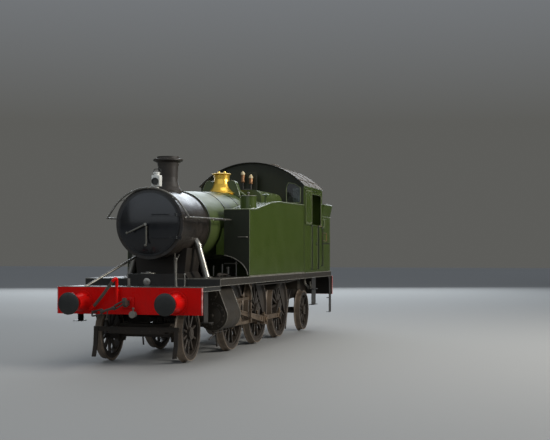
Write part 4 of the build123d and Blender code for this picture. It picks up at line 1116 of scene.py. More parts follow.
@dataclass
class Platform:
    """Trim of the low front platform and of the casing between the frames."""

    casing_half: float = 0.455
    casing_x: float = DROP_X + 0.025
    beam_x: float = 4.968
    top: float = up(1.32)
    post_foot: float = up(1.318)
    post_height: float = 0.46
    lid: Pairs = ((0, 0.135), (0.014, 0.135), (0.02, 0.128), (0.022, 0.05), (0.034, 0.045), (0.036, 0.02))
    door: Pairs = ((-0.002, 0.07), (0.01, 0.07), (0.014, 0.062), (0.014, 0.02), (0.03, 0.016))
    cap: Pairs = ((0, 0.02), (0.02, 0.02), (0.03, 0.012))
    bolts_y: tuple[float, ...] = (-0.42, -0.25, 0.08, 0.25, 0.42)

    def build(self) -> None:
        """Model the covers, posts and edges of the platform."""
        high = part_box("front_platform")[1]
        front = self.casing_x
        covers = [
            turned(self.lid, (front - 0.16, -0.13, high.z), UP, 40),
            turned(self.door, (front, -0.09, up(1.385)), FRONT, 32),
        ]
        fit("casing_covers", STEEL, covers)
        bolts = [(front, y, z) for y in self.bolts_y for z in (up(1.345), high.z - 0.03)]
        fit("casing_bolts", UNDER, [heads(bolts, FRONT, 0.01, 0.007, 6)])
        self._posts()
        self._edges(high.y)

    def _posts(self) -> None:
        """Model the upright rods on the platform with their eyes."""
        x, y, foot = self.casing_x - 0.03, self.casing_half + 0.012, self.post_foot
        head = foot + self.post_height
        near = (x + 0.08, y + 0.19)
        posts = [
            pipe(((x, y, foot), (x, y, head)), 0.011),
            ring((x, y, head + 0.02), LEFT, 0.02, 0.009, 20),
            pipe(((x, y, head), (x - 0.3, y - 0.06, head + 0.1)), 0.01),
            pipe(((*near, foot), (*near, foot + 0.2)), 0.012),
            turned(self.cap, (*near, foot + 0.195), UP, 16),
        ]
        fit("platform_posts", STEEL, posts)

    def _edges(self, side: float) -> None:
        """Model the worn edges of the platform and its drop plate.

        Args:
            side: Y of the platform's side.
        """
        x, top = DROP_X, self.top
        # both corners of each strip
        strips = (
            ((x - 0.002, side - 0.01, top - 0.004), (self.beam_x, side + 0.003, top + 0.005)),
            ((x - 0.002, side - 0.002, up(1.243)), (self.beam_x, side + 0.003, up(1.254))),
            ((x + 0.006, self.casing_half, up(1.436)), (x + 0.016, side, up(1.45))),
            ((x + 0.004, side - 0.01, top), (x + 0.016, side + 0.002, up(1.448))),
        )
        fit("platform_edges", WORN, [block(*corners, 0.002, 1) for corners in strips], SIDES)


# Smokebox and boiler


@dataclass
class Smokebox:
    """Rivets, nuts, pipes and rail brackets of the smokebox."""

    centre_z: float = up(2.44)
    radius: float = 0.64
    front_x: float = 4.09
    rear_x: float = 2.68
    ring_reach: float = 0.616
    ring_rivets: int = 30
    rivet_turn: int = 6
    rivet: Pairs = ((-0.003, 0.011), (0.004, 0.01), (0.008, 0.005))
    dish_reach: float = 0.56
    dish_depth: float = 0.095
    strap_half: float = 0.012
    strap_lifts: tuple[float, ...] = (-0.257, 0.154)
    strap_steps: int = 12
    hoop_radius: float = 0.8
    hoop_z: float = up(2.276)
    rail_x: float = 4.15
    rail_z: float = up(2.543)
    # X and Y of the brackets of the side rails
    rail_brackets: Pairs = ((3.95, 0.8), (3.25, 0.838), (2.45, 0.879))
    bracket: Pairs = (
        (-0.02, 0.01), (0.0, 0.01), (0.004, 0.022), (0.01, 0.024), (0.018, 0.018), (0.022, 0.011),
    )
    grip: Pairs = ((0, 0.01), (0.006, 0.02), (0.022, 0.024), (0.038, 0.02), (0.044, 0.008))
    shaft: Pairs = (
        (0.03, 0.01), (0.034, 0.021), (0.06, 0.019), (0.2, 0.017), (0.352, 0.016), (0.36, 0.008),
    )
    # back from the hub's face, swing from hanging straight down
    handles: Pairs = ((0.039, 0), (0.013, -66))
    pipe_top: Point = (3.17, 0.59, up(2.08))
    pipe_way: Point = (0, 0.23, -0.79)
    # distance down the steam pipe, radius, length
    collars: tuple[tuple[float, float, float], ...] = ((0.0, 0.078, 0.035), (0.045, 0.072, 0.02))
    pipe_foot: Pairs = ((0, 0.105), (0.016, 0.105), (0.02, 0.099))
    lamp_cap: Pairs = ((-0.004, 0.056), (0.03, 0.05), (0.036, 0.062), (0.046, 0.062), (0.056, 0.045))
    lamp_rim: Pairs = (
        (-0.002, 0.06), (0.02, 0.06), (0.033, 0.066), (0.033, 0.055), (0.016, 0.052), (0.014, 0.01),
    )

    def build(self) -> None:
        """Model the smokebox fittings."""
        self._rivets()
        self._rail_brackets()
        self._door_nuts()
        self._door_handles()
        self._door_straps()
        self._pipe_collars()
        self._headlamp()

    def _round(self, x: float, reach: float, degrees: float) -> Point:
        """Point round the smokebox at an angle up from its left side."""
        turn = math.radians(degrees)
        return (x, reach * math.cos(turn), self.centre_z + reach * math.sin(turn))

    def _rivets(self) -> None:
        """Model the rivets of the front ring and of the wrapper's ends, and the end bands."""
        step = 360 / self.ring_rivets
        places = [self._round(self.front_x, self.ring_reach, step * k + 6) for k in range(self.ring_rivets)]
        fit("smokebox_ring_rivets", SOOT, [heads(places, FRONT, 0.01, 0.007)])
        middle = (0, 0, self.centre_z)
        rows = []
        for x, gap in ((self.rear_x + 0.03, 0), (self.front_x - 0.055, self.rivet_turn)):
            dome = turned(self.rivet, (x, 0, self.radius), UP, 8)
            turns = [turn for turn in range(-120, 121, self.rivet_turn) if abs(turn) >= gap]
            rows.append(around(dome, turns, middle))
        fit("smokebox_wrapper_rivets", SOOT, rows)
        # X, width, thickness
        ends = ((self.rear_x + 0.01, 0.055, 0.008), (self.front_x - 0.055, 0.045, 0.004))
        reach = self.radius - 0.001
        bands = [band((x, 0, self.centre_z), FRONT, reach, width, thick) for x, width, thick in ends]
        fit("smokebox_end_bands", SOOT, bands)

    def _rail_brackets(self) -> None:
        """Model the turned brackets of the hoop and of the side rails."""
        brackets = []
        for degrees in (45, 90, 135):
            turn = math.radians(degrees)
            reach = self.hoop_radius
            outer = (self.rail_x, reach * math.cos(turn), self.hoop_z + reach * math.sin(turn))
            root = self._round(self.front_x - 0.02, self.radius - 0.004, degrees)
            brackets += [pipe((root, outer), 0.011), ring(outer, LEFT, 0.017, 0.007, 16)]
        sides, z = [], self.rail_z
        for x, y in self.rail_brackets:
            sides.append(pipe(((x, 0.6, z), (x, y, z)), 0.011))
            sides.append(turned(self.bracket, (x, self.radius, z), LEFT, 16))
            sides.append(ring((x, y, z), FRONT, 0.018, 0.007, 16))
        fit("handrail_brackets", STEEL, [*brackets, spread(sides, SIDES)])

    def _door_nuts(self) -> None:
        """Model the bolts of the hinge straps and the nut that holds the handles."""
        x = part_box("smokebox_door")[1].x
        hub = heads([(x - 0.012, 0, self.centre_z - 0.02)], FRONT, 0.03, 0.022, 6)
        bolts = [(4.133, 0.545, up(z) + dz) for z in (2.183, 2.594) for dz in (-0.013, 0.013)]
        nuts = [hub, heads(bolts, FRONT, 0.008, 0.006, 6)]
        fit("smokebox_door_nuts", STEEL, nuts, body="door")

    def _door_handles(self) -> None:
        """Model the pair of tapered handles with the grips at their ends."""
        x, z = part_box("smokebox_door")[1].x, self.centre_z
        tips = ((x - 0.03, 0.0, z - 0.395), (x - 0.004, -0.345, z - 0.173))
        pieces = [turned(self.grip, tip, FRONT, 20) for tip in tips]
        for back, swing in self.handles:
            handle = turned(self.shaft, (0, 0, 0), UP, 16)
            handle.rotation_euler = (math.radians(180 + swing), 0, 0)
            handle.location = (x - back, 0, z - 0.02)
            pieces.append(handle)
        fit("smokebox_door_handles", RAILS, pieces, body="door")

    def _door_straps(self) -> None:
        """Model the hinge straps that follow the dished door."""
        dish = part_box("smokebox_door")[1].x - 0.075
        bend = (self.dish_reach**2 + self.dish_depth**2) / (2 * self.dish_depth)
        straps = []
        for lift in self.strap_lifts:
            near, z = abs(lift) - self.strap_half, self.centre_z + lift - self.strap_half
            outer, inner = [], []
            for k in range(self.strap_steps + 1):
                y = 0.09 + 0.33 * k / self.strap_steps
                sag = bend - math.sqrt(bend**2 - y**2 - near**2)
                outer.append((dish + 0.02 - sag, y, z))
                inner.append((dish - 0.012 - sag, y, z))
            straps.append(panel([*outer, *reversed(inner)], (0, 0, 2 * self.strap_half), 0.004))
        fit("smokebox_door_straps", DOOR, straps, body="door")

    def _pipe_collars(self) -> None:
        """Model the collars where the steam pipes leave the smokebox and enter the cylinders."""
        way = Vector(self.pipe_way).normalized()
        collars = []
        for distance, reach, length in self.collars:
            ease = 0.004
            profile = ((0, reach - ease), (ease, reach), (length - ease, reach), (length, reach - ease))
            collar = turned(profile, (0, 0, 0), UP, 36)
            collar.rotation_euler = way.to_track_quat("Z", "Y").to_euler()
            collar.location = Vector(self.pipe_top) + way * (distance + 0.02)
            collars.append(collar)
        collars.append(turned(self.pipe_foot, (3.17, 0.777, up(1.448)), UP, 36))
        fit("steam_pipe_collars", STEEL, collars, SIDES)

    def _headlamp(self) -> None:
        """Model the white lamp with its lens, chimney and handle."""
        low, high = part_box("headlamp")
        middle = (low.y + high.y) / 2
        front = high.x - 0.033
        lamp = [
            block((low.x, low.y, up(3.105)), (front, high.y, up(3.31)), 0.012, 3),
            turned(self.lamp_cap, ((low.x + front) / 2, middle, up(3.31)), UP, 32),
            block((low.x + 0.03, middle - 0.03, up(3.068)), (front - 0.02, middle + 0.03, up(3.11)), 0.002),
        ]
        fit("headlamp_case", WHITE, lamp, instead="headlamp")
        rim = turned(self.lamp_rim, (front, middle, up(3.195)), FRONT, 36)
        x, near, far = front - 0.095, low.y + 0.012, high.y - 0.012
        foot, top = up(3.3), up(3.425)
        handle = pipe(((x, near, foot), (x, near, top), (x, far, top), (x, far, foot)), 0.007, 0.035)
        fit("headlamp_lens_and_handle", GREASED, [rim, handle], instead="headlamp")


@dataclass
class Boiler:
    """Cleading bands, feed covers, plugs and safety valves of the boiler."""

    front_x: float = 2.68
    rear_x: float = -0.52
    front_reach: float = 0.66
    rear_reach: float = 0.735
    centre_z: float = up(2.44)
    # X, width
    hoops: Pairs = ((2.655, 0.05), (1.57, 0.055), (0.62, 0.05), (-0.47, 0.06))
    hoop_thick: float = 0.005
    valve: Pairs = ((-0.01, 0.04), (0.016, 0.04), (0.02, 0.028), (0.034, 0.026), (0.04, 0.012))
    valves_y: tuple[float, ...] = (-0.065, 0.065)
    # Y and height over the rail
    studs: Pairs = ((0.21, 3.42), (0.3, 3.4), (0.35, 3.27), (0.4, 3.13))
    cover_edge: Pairs = (
        (0.235, 3.472), (0.315, 3.452), (0.352, 3.385), (0.41, 3.23), (0.44, 3.1),
    )
    plug: Pairs = (
        (-0.006, 0.04), (0.008, 0.04), (0.012, 0.034), (0.012, 0.018), (0.026, 0.016), (0.028, 0.01),
    )
    plugs_x: tuple[float, ...] = (-0.75, -1.15, -1.55, -1.95)
    shoulder: tuple[float, float] = (0.55, up(3.11))
    shoulder_reach: float = 0.19

    def build(self) -> None:
        """Model the boiler's fittings."""
        fit("cleading_bands", BLACK, [self._hoop(x, width) for x, width in self.hoops])
        self._safety_valves()
        self._feed_covers()
        plugs = []
        for x in self.plugs_x:
            plug = turned(self.plug, (0, 0, self.shoulder_reach), UP, 24)
            plugs.append(around(plug, [-45], (x, *self.shoulder)))
        fit("washout_plugs", BEADING, plugs, SIDES)

    def _hoop(self, x: float, width: float) -> Piece:
        """Wrap one band round the tapered barrel.

        Args:
            x: Place along the engine.
            width: Width of the band.

        Returns:
            The band.
        """
        share = (self.front_x - x) / (self.front_x - self.rear_x)
        rise = share * (self.rear_reach - self.front_reach)
        return band((x, 0, self.centre_z + rise), FRONT, self.front_reach + rise, width, self.hoop_thick)

    def _safety_valves(self) -> None:
        """Model the valve heads in the top of the bonnet and the beads round it."""
        low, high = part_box("safety_valve_bonnet")
        x = (low.x + high.x) / 2
        beads = [
            ring((x, 0, high.z - 0.022), UP, 0.194, 0.014, 72),
            ring((x, 0, up(3.197)), UP, 0.316, 0.01, 72),
            *[turned(self.valve, (x, y, high.z), UP, 24) for y in self.valves_y],
        ]
        fit("bonnet_beads", BRASS, beads)

    def _feed_covers(self) -> None:
        """Model the studs of the feed covers, a pale bead along their edge that paints the highlight there,
        and the clips on the feed pipes.
        """
        low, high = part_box("top_feed")
        x = (low.x + high.x) / 2
        studs = heads([(high.x, y, up(z)) for y, z in self.studs], FRONT, 0.009, 0.007, 6)
        clip = bars((0.012, 0.03, (x - 0.09, 0.69, 2.95), (x - 0.04, 0.735, 2.93), (x + 0.01, 0.69, 2.95)))
        fit("feed_cover_studs", GREEN, [studs, *clip], SIDES)
        # Pale bead along the cover's curved edge: painted highlight
        bead = pipe([(high.x - 0.004, y, up(z)) for y, z in self.cover_edge], 0.011, 0.06)
        fit("feed_cover_highlight_bead", BEADING, [bead], SIDES)


@dataclass
class Whistles:
    """Pair of whistles on their stand, with the shield behind."""

    x: float = -1.95
    foot_z: float = up(3.3)
    # Y, height of the bell's foot and top over the stand
    pair: tuple[tuple[float, float, float], ...] = ((-0.125, 0.26, 0.44), (0.07, 0.22, 0.36))
    bell: Pairs = ((0, 0.02), (0.006, 0.05), (0.02, 0.052), (0.03, 0.046))
    bell_reach: float = 0.046
    dome: Pairs = (
        (0, 0.049), (0.03, 0.049), (0.055, 0.04), (0.07, 0.018), (0.085, 0.016), (0.092, 0.008),
    )
    shield_back: float = 0.1
    shield_half: float = 0.19
    shield_top: float = up(3.8)
    shield_round: float = 0.06

    def build(self) -> None:
        """Model the whistles, their stand and the shield."""
        x, foot = self.x, self.foot_z
        stand = [
            block((x - 0.04, -0.15, foot - 0.002), (x + 0.04, 0.15, foot + 0.05), 0.01),
            pipe(((x, -0.12, foot + 0.09), (x, 0.1, foot + 0.09)), 0.022),
        ]
        bells, tops = [], []
        for y, low, high in self.pair:
            stand.append(pipe(((x, y, foot + 0.04), (x, y, foot + low + 0.01)), 0.018))
            bell = (*self.bell, (high - low, self.bell_reach))
            bells.append(turned(bell, (x, y, foot + low), UP, 32))
            tops.append(turned(self.dome, (x, y, foot + high), UP, 32))
        fit("whistle_stand", IRON, stand, instead="whistles")
        fit("whistle_bells", COPPER, bells, instead="whistles")
        fit("whistle_tops", SCALED, tops, instead="whistles")
        self._shield()

    def _shield(self) -> None:
        """Model the thin shield with its rounded upper corners."""
        half, top, turn, tip = self.shield_half, self.shield_top, self.shield_round, self.shield_round * 0.3
        right = [(-half, top - turn), (tip - half, top - tip), (turn - half, top)]
        left = [(-y, z) for y, z in right]
        corners = [(-half, self.foot_z), (half, self.foot_z), *left, *reversed(right)]
        outline = [(self.x - self.shield_back, y, z) for y, z in corners]
        # The forward-facing shield takes the darkened green that paints its shade
        fit("whistle_shield", SHADED, [panel(outline, (0.008, 0, 0))], instead="whistles")


# Tanks


@dataclass
class Tanks:
    """Beading, handrails and recess fittings of the side tanks."""

    front_x: float = 2.1
    rear_x: float = -2.25
    inner_y: float = 0.752
    side_y: float = 1.275
    floor_z: float = up(1.448)
    # X and height over the rail along the top
    top: Pairs = (
        (2.1, 2.76), (1.62, 2.785), (0.52, 2.96), (-0.1, 3.005), (-2.25, 3.03),
    )
    arch_centre_y: float = 0.592
    arch_half: float = 0.65
    arch_rise: float = 0.43
    arch_steps: int = 16
    arch_from: float = 4
    arch_turn: float = 71
    # Y from and to and height over the rail of the grab rails
    grab: Point = (1.055, 1.235, 2.219)
    grab_out: float = 0.045
    rivet_gap: float = 0.11
    vent: Pairs = (
        (-0.02, 0.055), (0.008, 0.055), (0.012, 0.03), (0.125, 0.03), (0.13, 0.08), (0.15, 0.08),
        (0.172, 0.04),
    )
    # X and height over the rail of the lifting eyes
    eyes: Pairs = ((1.72, 2.79), (-1.95, 3.026))
    filler_x: float = 1.3
    filler_y: float = 1.01
    lid_knob: Pairs = (
        (-0.004, 0.03), (0.01, 0.03), (0.016, 0.016), (0.045, 0.014), (0.06, 0.026), (0.078, 0.022),
        (0.084, 0.008),
    )
    # radius and run of each rod that shows through the arches
    recess_x: float = 1.9
    rods: tuple[tuple[float, float, float, float, float], ...] = (
        (0.014, 0.69, 1.7, 0.98, 1.7), (0.016, 0.655, 1.448, 0.655, 1.69),
        (0.014, 0.472, 1.448, 0.472, 1.66), (0.014, 0.943, 1.448, 0.943, 1.73),
    )
    clack: Pairs = (
        (0, 0.045), (0.02, 0.045), (0.03, 0.03), (0.14, 0.03), (0.15, 0.042), (0.185, 0.042),
    )
    valve: Pairs = (
        (0, 0.03), (0.02, 0.03), (0.03, 0.018), (0.06, 0.018), (0.066, 0.032), (0.08, 0.032),
    )
    # radius, bend and run over the rail
    platform_pipes: tuple[Sequence, ...] = (
        (0.022, 0.08, (1.55, 0.72, 1.498), (2.35, 0.72, 1.498), (2.62, 0.8, 1.46)),
        (0.013, 0.08, (1.55, 0.83, 1.488), (2.55, 0.83, 1.488), (2.9, 0.92, 1.46)),
    )

    def build(self) -> None:
        """Model the trim of both tanks."""
        self._beading()
        self._front_plates()
        self._joints()
        self._tops()
        self._recess()

    def _beading(self) -> None:
        """Model the half-round beading along the top edges and the angle along the foot."""
        x, y, inner = self.front_x, self.side_y, self.inner_y + 0.01
        run = [(place, y + 0.001, up(z)) for place, z in self.top]
        beads = [
            pipe([(x, inner, up(2.76)), *run], 0.012, 0.05),
            pipe([(place, inner, z) for place, _, z in run], 0.01, 0.05),
            pipe(((x, y, self.floor_z), (x, y, up(2.76))), 0.007),
        ]
        fit("tank_beading", BEADING, beads, SIDES)
        foot = ((self.rear_x, y - 0.002, self.floor_z), (x + 0.004, y + 0.01, self.floor_z + 0.02))
        fit("tank_foot_angle", WORN, [block(*foot, 0.003)], SIDES)

    def _front_plates(self) -> None:
        """Model dark plates over the tanks' front faces, which paint their shade, with the beading round
        their arch and the short grab rails.
        """
        x, y = self.front_x, self.side_y
        arch = []
        for k in range(self.arch_steps + 1):
            turn = math.radians(self.arch_from + self.arch_turn * k / self.arch_steps)
            across = self.arch_centre_y + self.arch_half * math.cos(turn)
            arch.append((x + 0.002, across, self.floor_z + self.arch_rise * math.sin(turn)))
        top = up(2.75)
        corners = ((self.inner_y, top), (y - 0.008, top), (y - 0.008, arch[0][2]))
        outline = [*arch, *[(x + 0.002, across, z) for across, z in corners]]
        # A thin dark sheet over each tank's front face: painted shade
        fit("tank_front_shade_plates", SHADED, [panel(outline, (0.003, 0, 0), 0)], SIDES)
        near, far, z, out = *self.grab, x + self.grab_out
        grab = bars((0.009, 0.02, (x, near, z), (out, near, z), (out, far, z), (x, far, z)))
        fit("tank_front_beading", WORN, [pipe(arch, 0.011, 0.02), *grab], SIDES)

    def _joints(self) -> None:
        """Model the upright joint strip beside the cab and the lines of small rivets."""
        x, y, foot, gap = self.rear_x, self.side_y, self.floor_z, self.rivet_gap
        strip = block((x - 0.012, y - 0.001, foot), (x + 0.012, y + 0.004, up(3.03)), 0.001, 1)
        fit("tank_joint_strips", SHADED, [strip], SIDES)
        places = [(-2.1 + gap * k, y, foot + 0.065) for k in range(38)]
        places += [(self.front_x - 0.05, y, foot + 0.12 + gap * k) for k in range(11)]
        fit("tank_rivets", GREEN, [heads(places, LEFT, 0.007, 0.0025, 6)], SIDES)

    def _tops(self) -> None:
        """Model the mushroom vents, the lifting eyes and the rims and clamps of the filler lids."""
        pieces = [turned(self.vent, (0.0, 1.0, up(3.0)), UP, 28)]
        pieces += [ring((x, 1.18, up(z) + 0.028), LEFT, 0.028, 0.009, 20) for x, z in self.eyes]
        fit("tank_vents", GREEN, pieces, SIDES)
        for side, sign in HANDS:
            centre = (self.filler_x, sign * self.filler_y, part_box(f"tank_lid_{side}")[1].z)
            lid = [ring(centre, UP, 0.15, 0.009, 56), turned(self.lid_knob, centre, UP, 24)]
            fit(f"filler_lid_rim_{side}", WORN, lid, body=f"{side}_lid")

    def _recess(self) -> None:
        """Model the small fittings that show through the arches in front of the tanks."""
        x = self.recess_x
        pieces = [pipe(((x, a, up(b)), (x, c, up(d))), radius) for radius, a, b, c, d in self.rods]
        pieces.append(turned(self.clack, (x, 0.778, self.floor_z), UP, 24))
        pieces.append(turned(self.valve, (x, 0.943, up(1.7)), UP, 20))
        fit("recess_valves_and_rods", STEEL, pieces, SIDES)
        fit("platform_pipes", IRON, bars(*self.platform_pipes), SIDES)


# Cab and bunker


@dataclass
class Cab:
    """Windows, rails, roof trim and inside fittings of the cab, with heights over the rail in its tables."""

    front_x: float = -2.25
    rear_x: float = -4.11
    side_y: float = 1.275
    roof_half: float = 1.3
    eave: float = up(3.485)
    roof_top: float = up(4.05)
    roof_steps: int = 28
    waist: float = 2.577
    floor: float = 1.5
    ribs_x: tuple[float, ...] = (-2.82, -3.46)
    rain_strip: int = 2
    # Y and height of each corner of a window
    front_window: Pairs = (
        (0.85, 3.08), (1.19, 3.08), (1.19, 3.44), (1.05, 3.53), (0.9, 3.56), (0.85, 3.45),
    )
    back_window: Pairs = ((0.52, 3.18), (0.98, 3.18), (0.98, 3.56), (0.52, 3.56))
    bar_gap: float = 0.0755
    # X, foot, head, radius, name, finish
    rails: tuple[tuple[float, float, float, float, str, Finish], ...] = (
        (-2.945, 1.52, 2.56, 0.01, "front", GREASED),
        (-3.605, 1.52, 2.57, 0.014, "middle", GREASED),
        (-4.045, 1.59, 2.545, 0.012, "rear", GREASED),
        (-4.234, 2.56, 2.74, 0.012, "bunker", BEADING),
    )
    rail_end: Pairs = ((0, 0.026), (0.005, 0.026), (0.01, 0.016))
    # X and height of the side opening's corners
    opening: Pairs = (
        (-2.97, 2.577), (-2.97, 3.33), (-4.02, 3.33), (-4.02, 2.577),
    )
    doorway: tuple[float, float] = (-2.981, -3.581)
    stile: float = 0.035
    backhead_x: float = -2.49
    # Y, height, radius
    gauges: tuple[tuple[float, float, float], ...] = (
        (-0.22, 3.2, 0.08), (0.08, 3.24, 0.095), (0.34, 3.18, 0.075), (-0.5, 3.02, 0.065),
    )
    # radius, bend, and back from the firebox, Y and height along the run
    pipes: tuple[Sequence, ...] = (
        (0.01, 0.06, (0, -0.22, 3.12), (-0.03, -0.22, 2.95), (-0.02, -0.46, 2.8), (0, -0.6, 2.3)),
        (0.01, 0.06, (0, 0.34, 3.1), (-0.03, 0.34, 2.98), (-0.02, 0.55, 2.75), (0, 0.62, 2.1)),
        (0.008, 0.05, (0, 0.08, 3.14), (-0.02, 0.08, 3.02), (-0.02, 0.28, 2.86), (0, 0.3, 2.6)),
        (0.016, 0.08, (0, -0.64, 1.7), (-0.04, -0.64, 2.55), (-0.02, -0.4, 2.92)),
        (0.016, 0.08, (0, 0.66, 1.7), (-0.04, 0.66, 2.45), (-0.02, 0.48, 2.9)),
    )
    # bevel, and both corners back from the fire hole
    fire_door: tuple[Sequence, ...] = (
        (0.006, (-0.045, -0.2, 2.02), (-0.02, -0.004, 2.26)),
        (0.006, (-0.045, 0.004, 2.02), (-0.02, 0.2, 2.26)),
        (0.004, (-0.05, -0.27, 1.985), (-0.015, 0.27, 2.005)),
        (0.004, (-0.05, -0.27, 2.275), (-0.015, 0.27, 2.295)),
    )
    fire_handle: Run = ((-0.045, -0.03, 2.14), (-0.11, -0.03, 2.14), (-0.11, -0.03, 2.26))
    backhead_half: float = 0.62
    # radius, bend and run of the reversing lever with its catch, the brake standard and the hand brake
    levers: tuple[Sequence, ...] = (
        (0.014, 0.05, (-2.68, -0.77, 1.55), (-2.78, -0.77, 2.52)),
        (0.007, 0.05, (-2.78, -0.77, 2.3), (-2.83, -0.77, 2.5)),
        (0.018, 0.05, (-2.75, -0.86, 1.5), (-2.75, -0.86, 2.35), (-2.75, -0.72, 2.42)),
        (0.022, 0.05, (-3.95, 0.8, 1.5), (-3.95, 0.8, 2.45)),
        (0.009, 0.05, (-3.95, 0.68, 2.46), (-3.95, 0.92, 2.46)),
    )

    def build(self) -> None:
        """Model the cab's fittings."""
        self._roof()
        self._windows()
        self._rails()
        self._side_beads()
        for side, sign in HANDS:
            self._shutter_and_door(side, sign)
        self._gauges()
        self._water_gauges()
        self._fire_doors()
        self._crew_fittings()

    def _arc(self, x: float, outwards: float, share: float = 1.0) -> list[Point]:
        """Points along the roof's arc at one place along the engine.

        Args:
            x: Place along the engine.
            outwards: How far off the roof's top surface.
            share: Part of the half width that the arc reaches.

        Returns:
            The points from left to right.
        """
        rise = self.roof_top - self.eave
        radius = (self.roof_half**2 + rise**2) / (2 * rise)
        reach = math.asin(self.roof_half * share / radius)
        turns = [reach * (1 - 2 * k / self.roof_steps) for k in range(self.roof_steps + 1)]
        off, centre = radius + outwards, self.roof_top - radius
        return [(x, off * math.sin(turn), centre + off * math.cos(turn)) for turn in turns]

    def _roof(self) -> None:
        """Model the roof's edge beads, ribs, rain strips and its sliding hatch."""
        low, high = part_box("cab_roof")
        edges = [pipe(self._arc(x, -0.003), 0.011, 0.01) for x in (high.x - 0.004, low.x + 0.004)]
        fit("roof_edge_beads", BLACK, edges)
        ribs = [pipe(self._arc(x, 0.001, 0.985), 0.01, 0.01) for x in self.ribs_x]
        _, y, z = self._arc(0, 0.004)[self.rain_strip]
        strip = pipe(((low.x + 0.05, y, z), (high.x - 0.05, y, z)), 0.011)
        top = self.roof_top
        hatch = [
            block((-3.36, -0.36, top - 0.035), (-2.92, 0.36, top + 0.02), 0.008, 2),
            *[pipe(((-3.44, y, top - 0.02), (-2.84, y, top - 0.02)), 0.012) for y in (0.4, -0.4)],
        ]
        fit("roof_ribs_and_hatch", ROOF, [*ribs, *hatch, spread([strip], SIDES)])

    def _windows(self) -> None:
        """Model the frames, bars and glass of the front and back windows."""
        x, rear = self.front_x, self.rear_x
        front = [(x + 0.004, y, up(z)) for y, z in self.front_window]
        inner = [(x - 0.014, y, z) for _, y, z in front]
        back = [(rear - 0.004, y, up(z)) for y, z in self.back_window]
        runs = ((front, 0.01), (inner, 0.009), (back, 0.01))
        frames = [pipe(run, size, 0.03, closed=True) for run, size in runs]
        fit("window_frames", BEADING, frames, SIDES)
        places = [0.56 + self.bar_gap * k for k in range(6)]
        bars_behind = bars(*[(0.006, 0.05, (rear - 0.008, y, 3.18), (rear - 0.008, y, 3.56)) for y in places])
        fit("rear_window_bars", BLACK, bars_behind, SIDES)
        panes = [
            panel([(x - 0.007, y, z) for _, y, z in front], (0.004, 0, 0), 0),
            panel([(rear + 0.003, y, z) for _, y, z in back], (0.004, 0, 0), 0),
        ]
        fit("window_panes", GLASS, panes, SIDES)

    def _rails(self) -> None:
        """Model the upright handrails beside the doorway and on the bunker."""
        near, y = self.side_y - 0.002, self.side_y + 0.032
        for x, foot, head, reach, name, finish in self.rails:
            rail = bars((reach, 0.03, (x, near, foot), (x, y, foot), (x, y, head), (x, near, head)))
            ends = [turned(self.rail_end, (x, self.side_y, up(z)), LEFT, 16) for z in (foot, head)]
            fit(f"cab_handrails_{name}", finish, [*rail, *ends], SIDES)

    def _side_beads(self) -> None:
        """Model the beading round the side openings, the eave gutters and the arm rests."""
        y = self.side_y
        out, eave = y + 0.001, self.eave
        beads = [
            pipe([(x, y - 0.01, up(z)) for x, z in self.opening], 0.01, 0.05, closed=True),
            *bars(*[(0.006, 0.05, (x, out, self.floor), (x, out, self.waist)) for x in self.doorway]),
            block((self.rear_x, y - 0.004, eave - 0.018), (self.front_x, y + 0.02, eave + 0.002)),
        ]
        fit("cab_side_beading", BEADING, beads, SIDES)
        rest = blocks((0.005, (-4.02, y - 0.045, 2.56), (-3.58, y + 0.02, self.waist)))
        fit("cab_arm_rests", BOARDS, rest, SIDES)

    def _shutter_and_door(self, side: str, sign: int) -> None:
        """Model the stiles of one side's shutter and the plate of its door's catch.

        Args:
            side: Name of the side.
            sign: 1 on the left and -1 on the right.
        """
        low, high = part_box(f"cab_shutter_{side}")
        out = high.y if sign > 0 else low.y
        near, far = sorted((out - sign * 0.002, out + sign * 0.003))
        wide = self.stile
        # X and height from and to
        stiles = (
            (low.x, low.z, high.x, low.z + wide), (low.x, high.z - wide, high.x, high.z),
            (low.x, low.z, low.x + wide, high.z), (high.x - wide, low.z, high.x, high.z),
        )
        pieces = [block((a, near, b), (c, far, d), 0.001, 1) for a, b, c, d in stiles]
        fit(f"cab_shutter_stiles_{side}", BEADING, pieces, body=f"{side}_shutter")
        low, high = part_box(f"cab_door_{side}")
        face = high.y if sign > 0 else low.y
        near, far = sorted((face, face + sign * 0.0015))
        catch = block((low.x + 0.03, near, up(2.1)), (low.x + 0.11, far, up(2.16)), 0.0004, 1)
        fit(f"cab_door_plate_{side}", GREASED, [catch], body=f"{side}_cab_door")

    def _gauges(self) -> None:
        """Model the pressure gauges and the pipes on the back of the boiler."""
        x, dials = self.backhead_x, []
        for y, z, reach in self.gauges:
            rim = ((0, reach), (-0.035, reach), (-0.042, reach - 0.008))
            face = (*rim, (-0.038, reach - 0.012), (-0.036, 0.01))
            dials.append(turned(face, (x, y, up(z)), FRONT, 32))
        fit("cab_gauges", BRASS, dials)
        runs = [pipe(lifted(run, x), radius, bend) for radius, bend, *run in self.pipes]
        fit("backhead_pipes", COPPER, runs)

    def _water_gauges(self) -> None:
        """Model the two water gauges."""
        x, glasses = self.backhead_x, []
        for y in (-0.34, 0.3):
            corners = ((x - 0.055, y - 0.035), (x - 0.015, y + 0.035))
            for foot, head in ((2.42, 2.5), (2.76, 2.84)):
                glasses += blocks((0.006, (*corners[0], foot), (*corners[1], head)))
            glasses += bars((0.01, 0.05, (x - 0.035, y, 2.45), (x - 0.035, y, 2.8)))
        fit("water_gauges", BRASS, glasses)

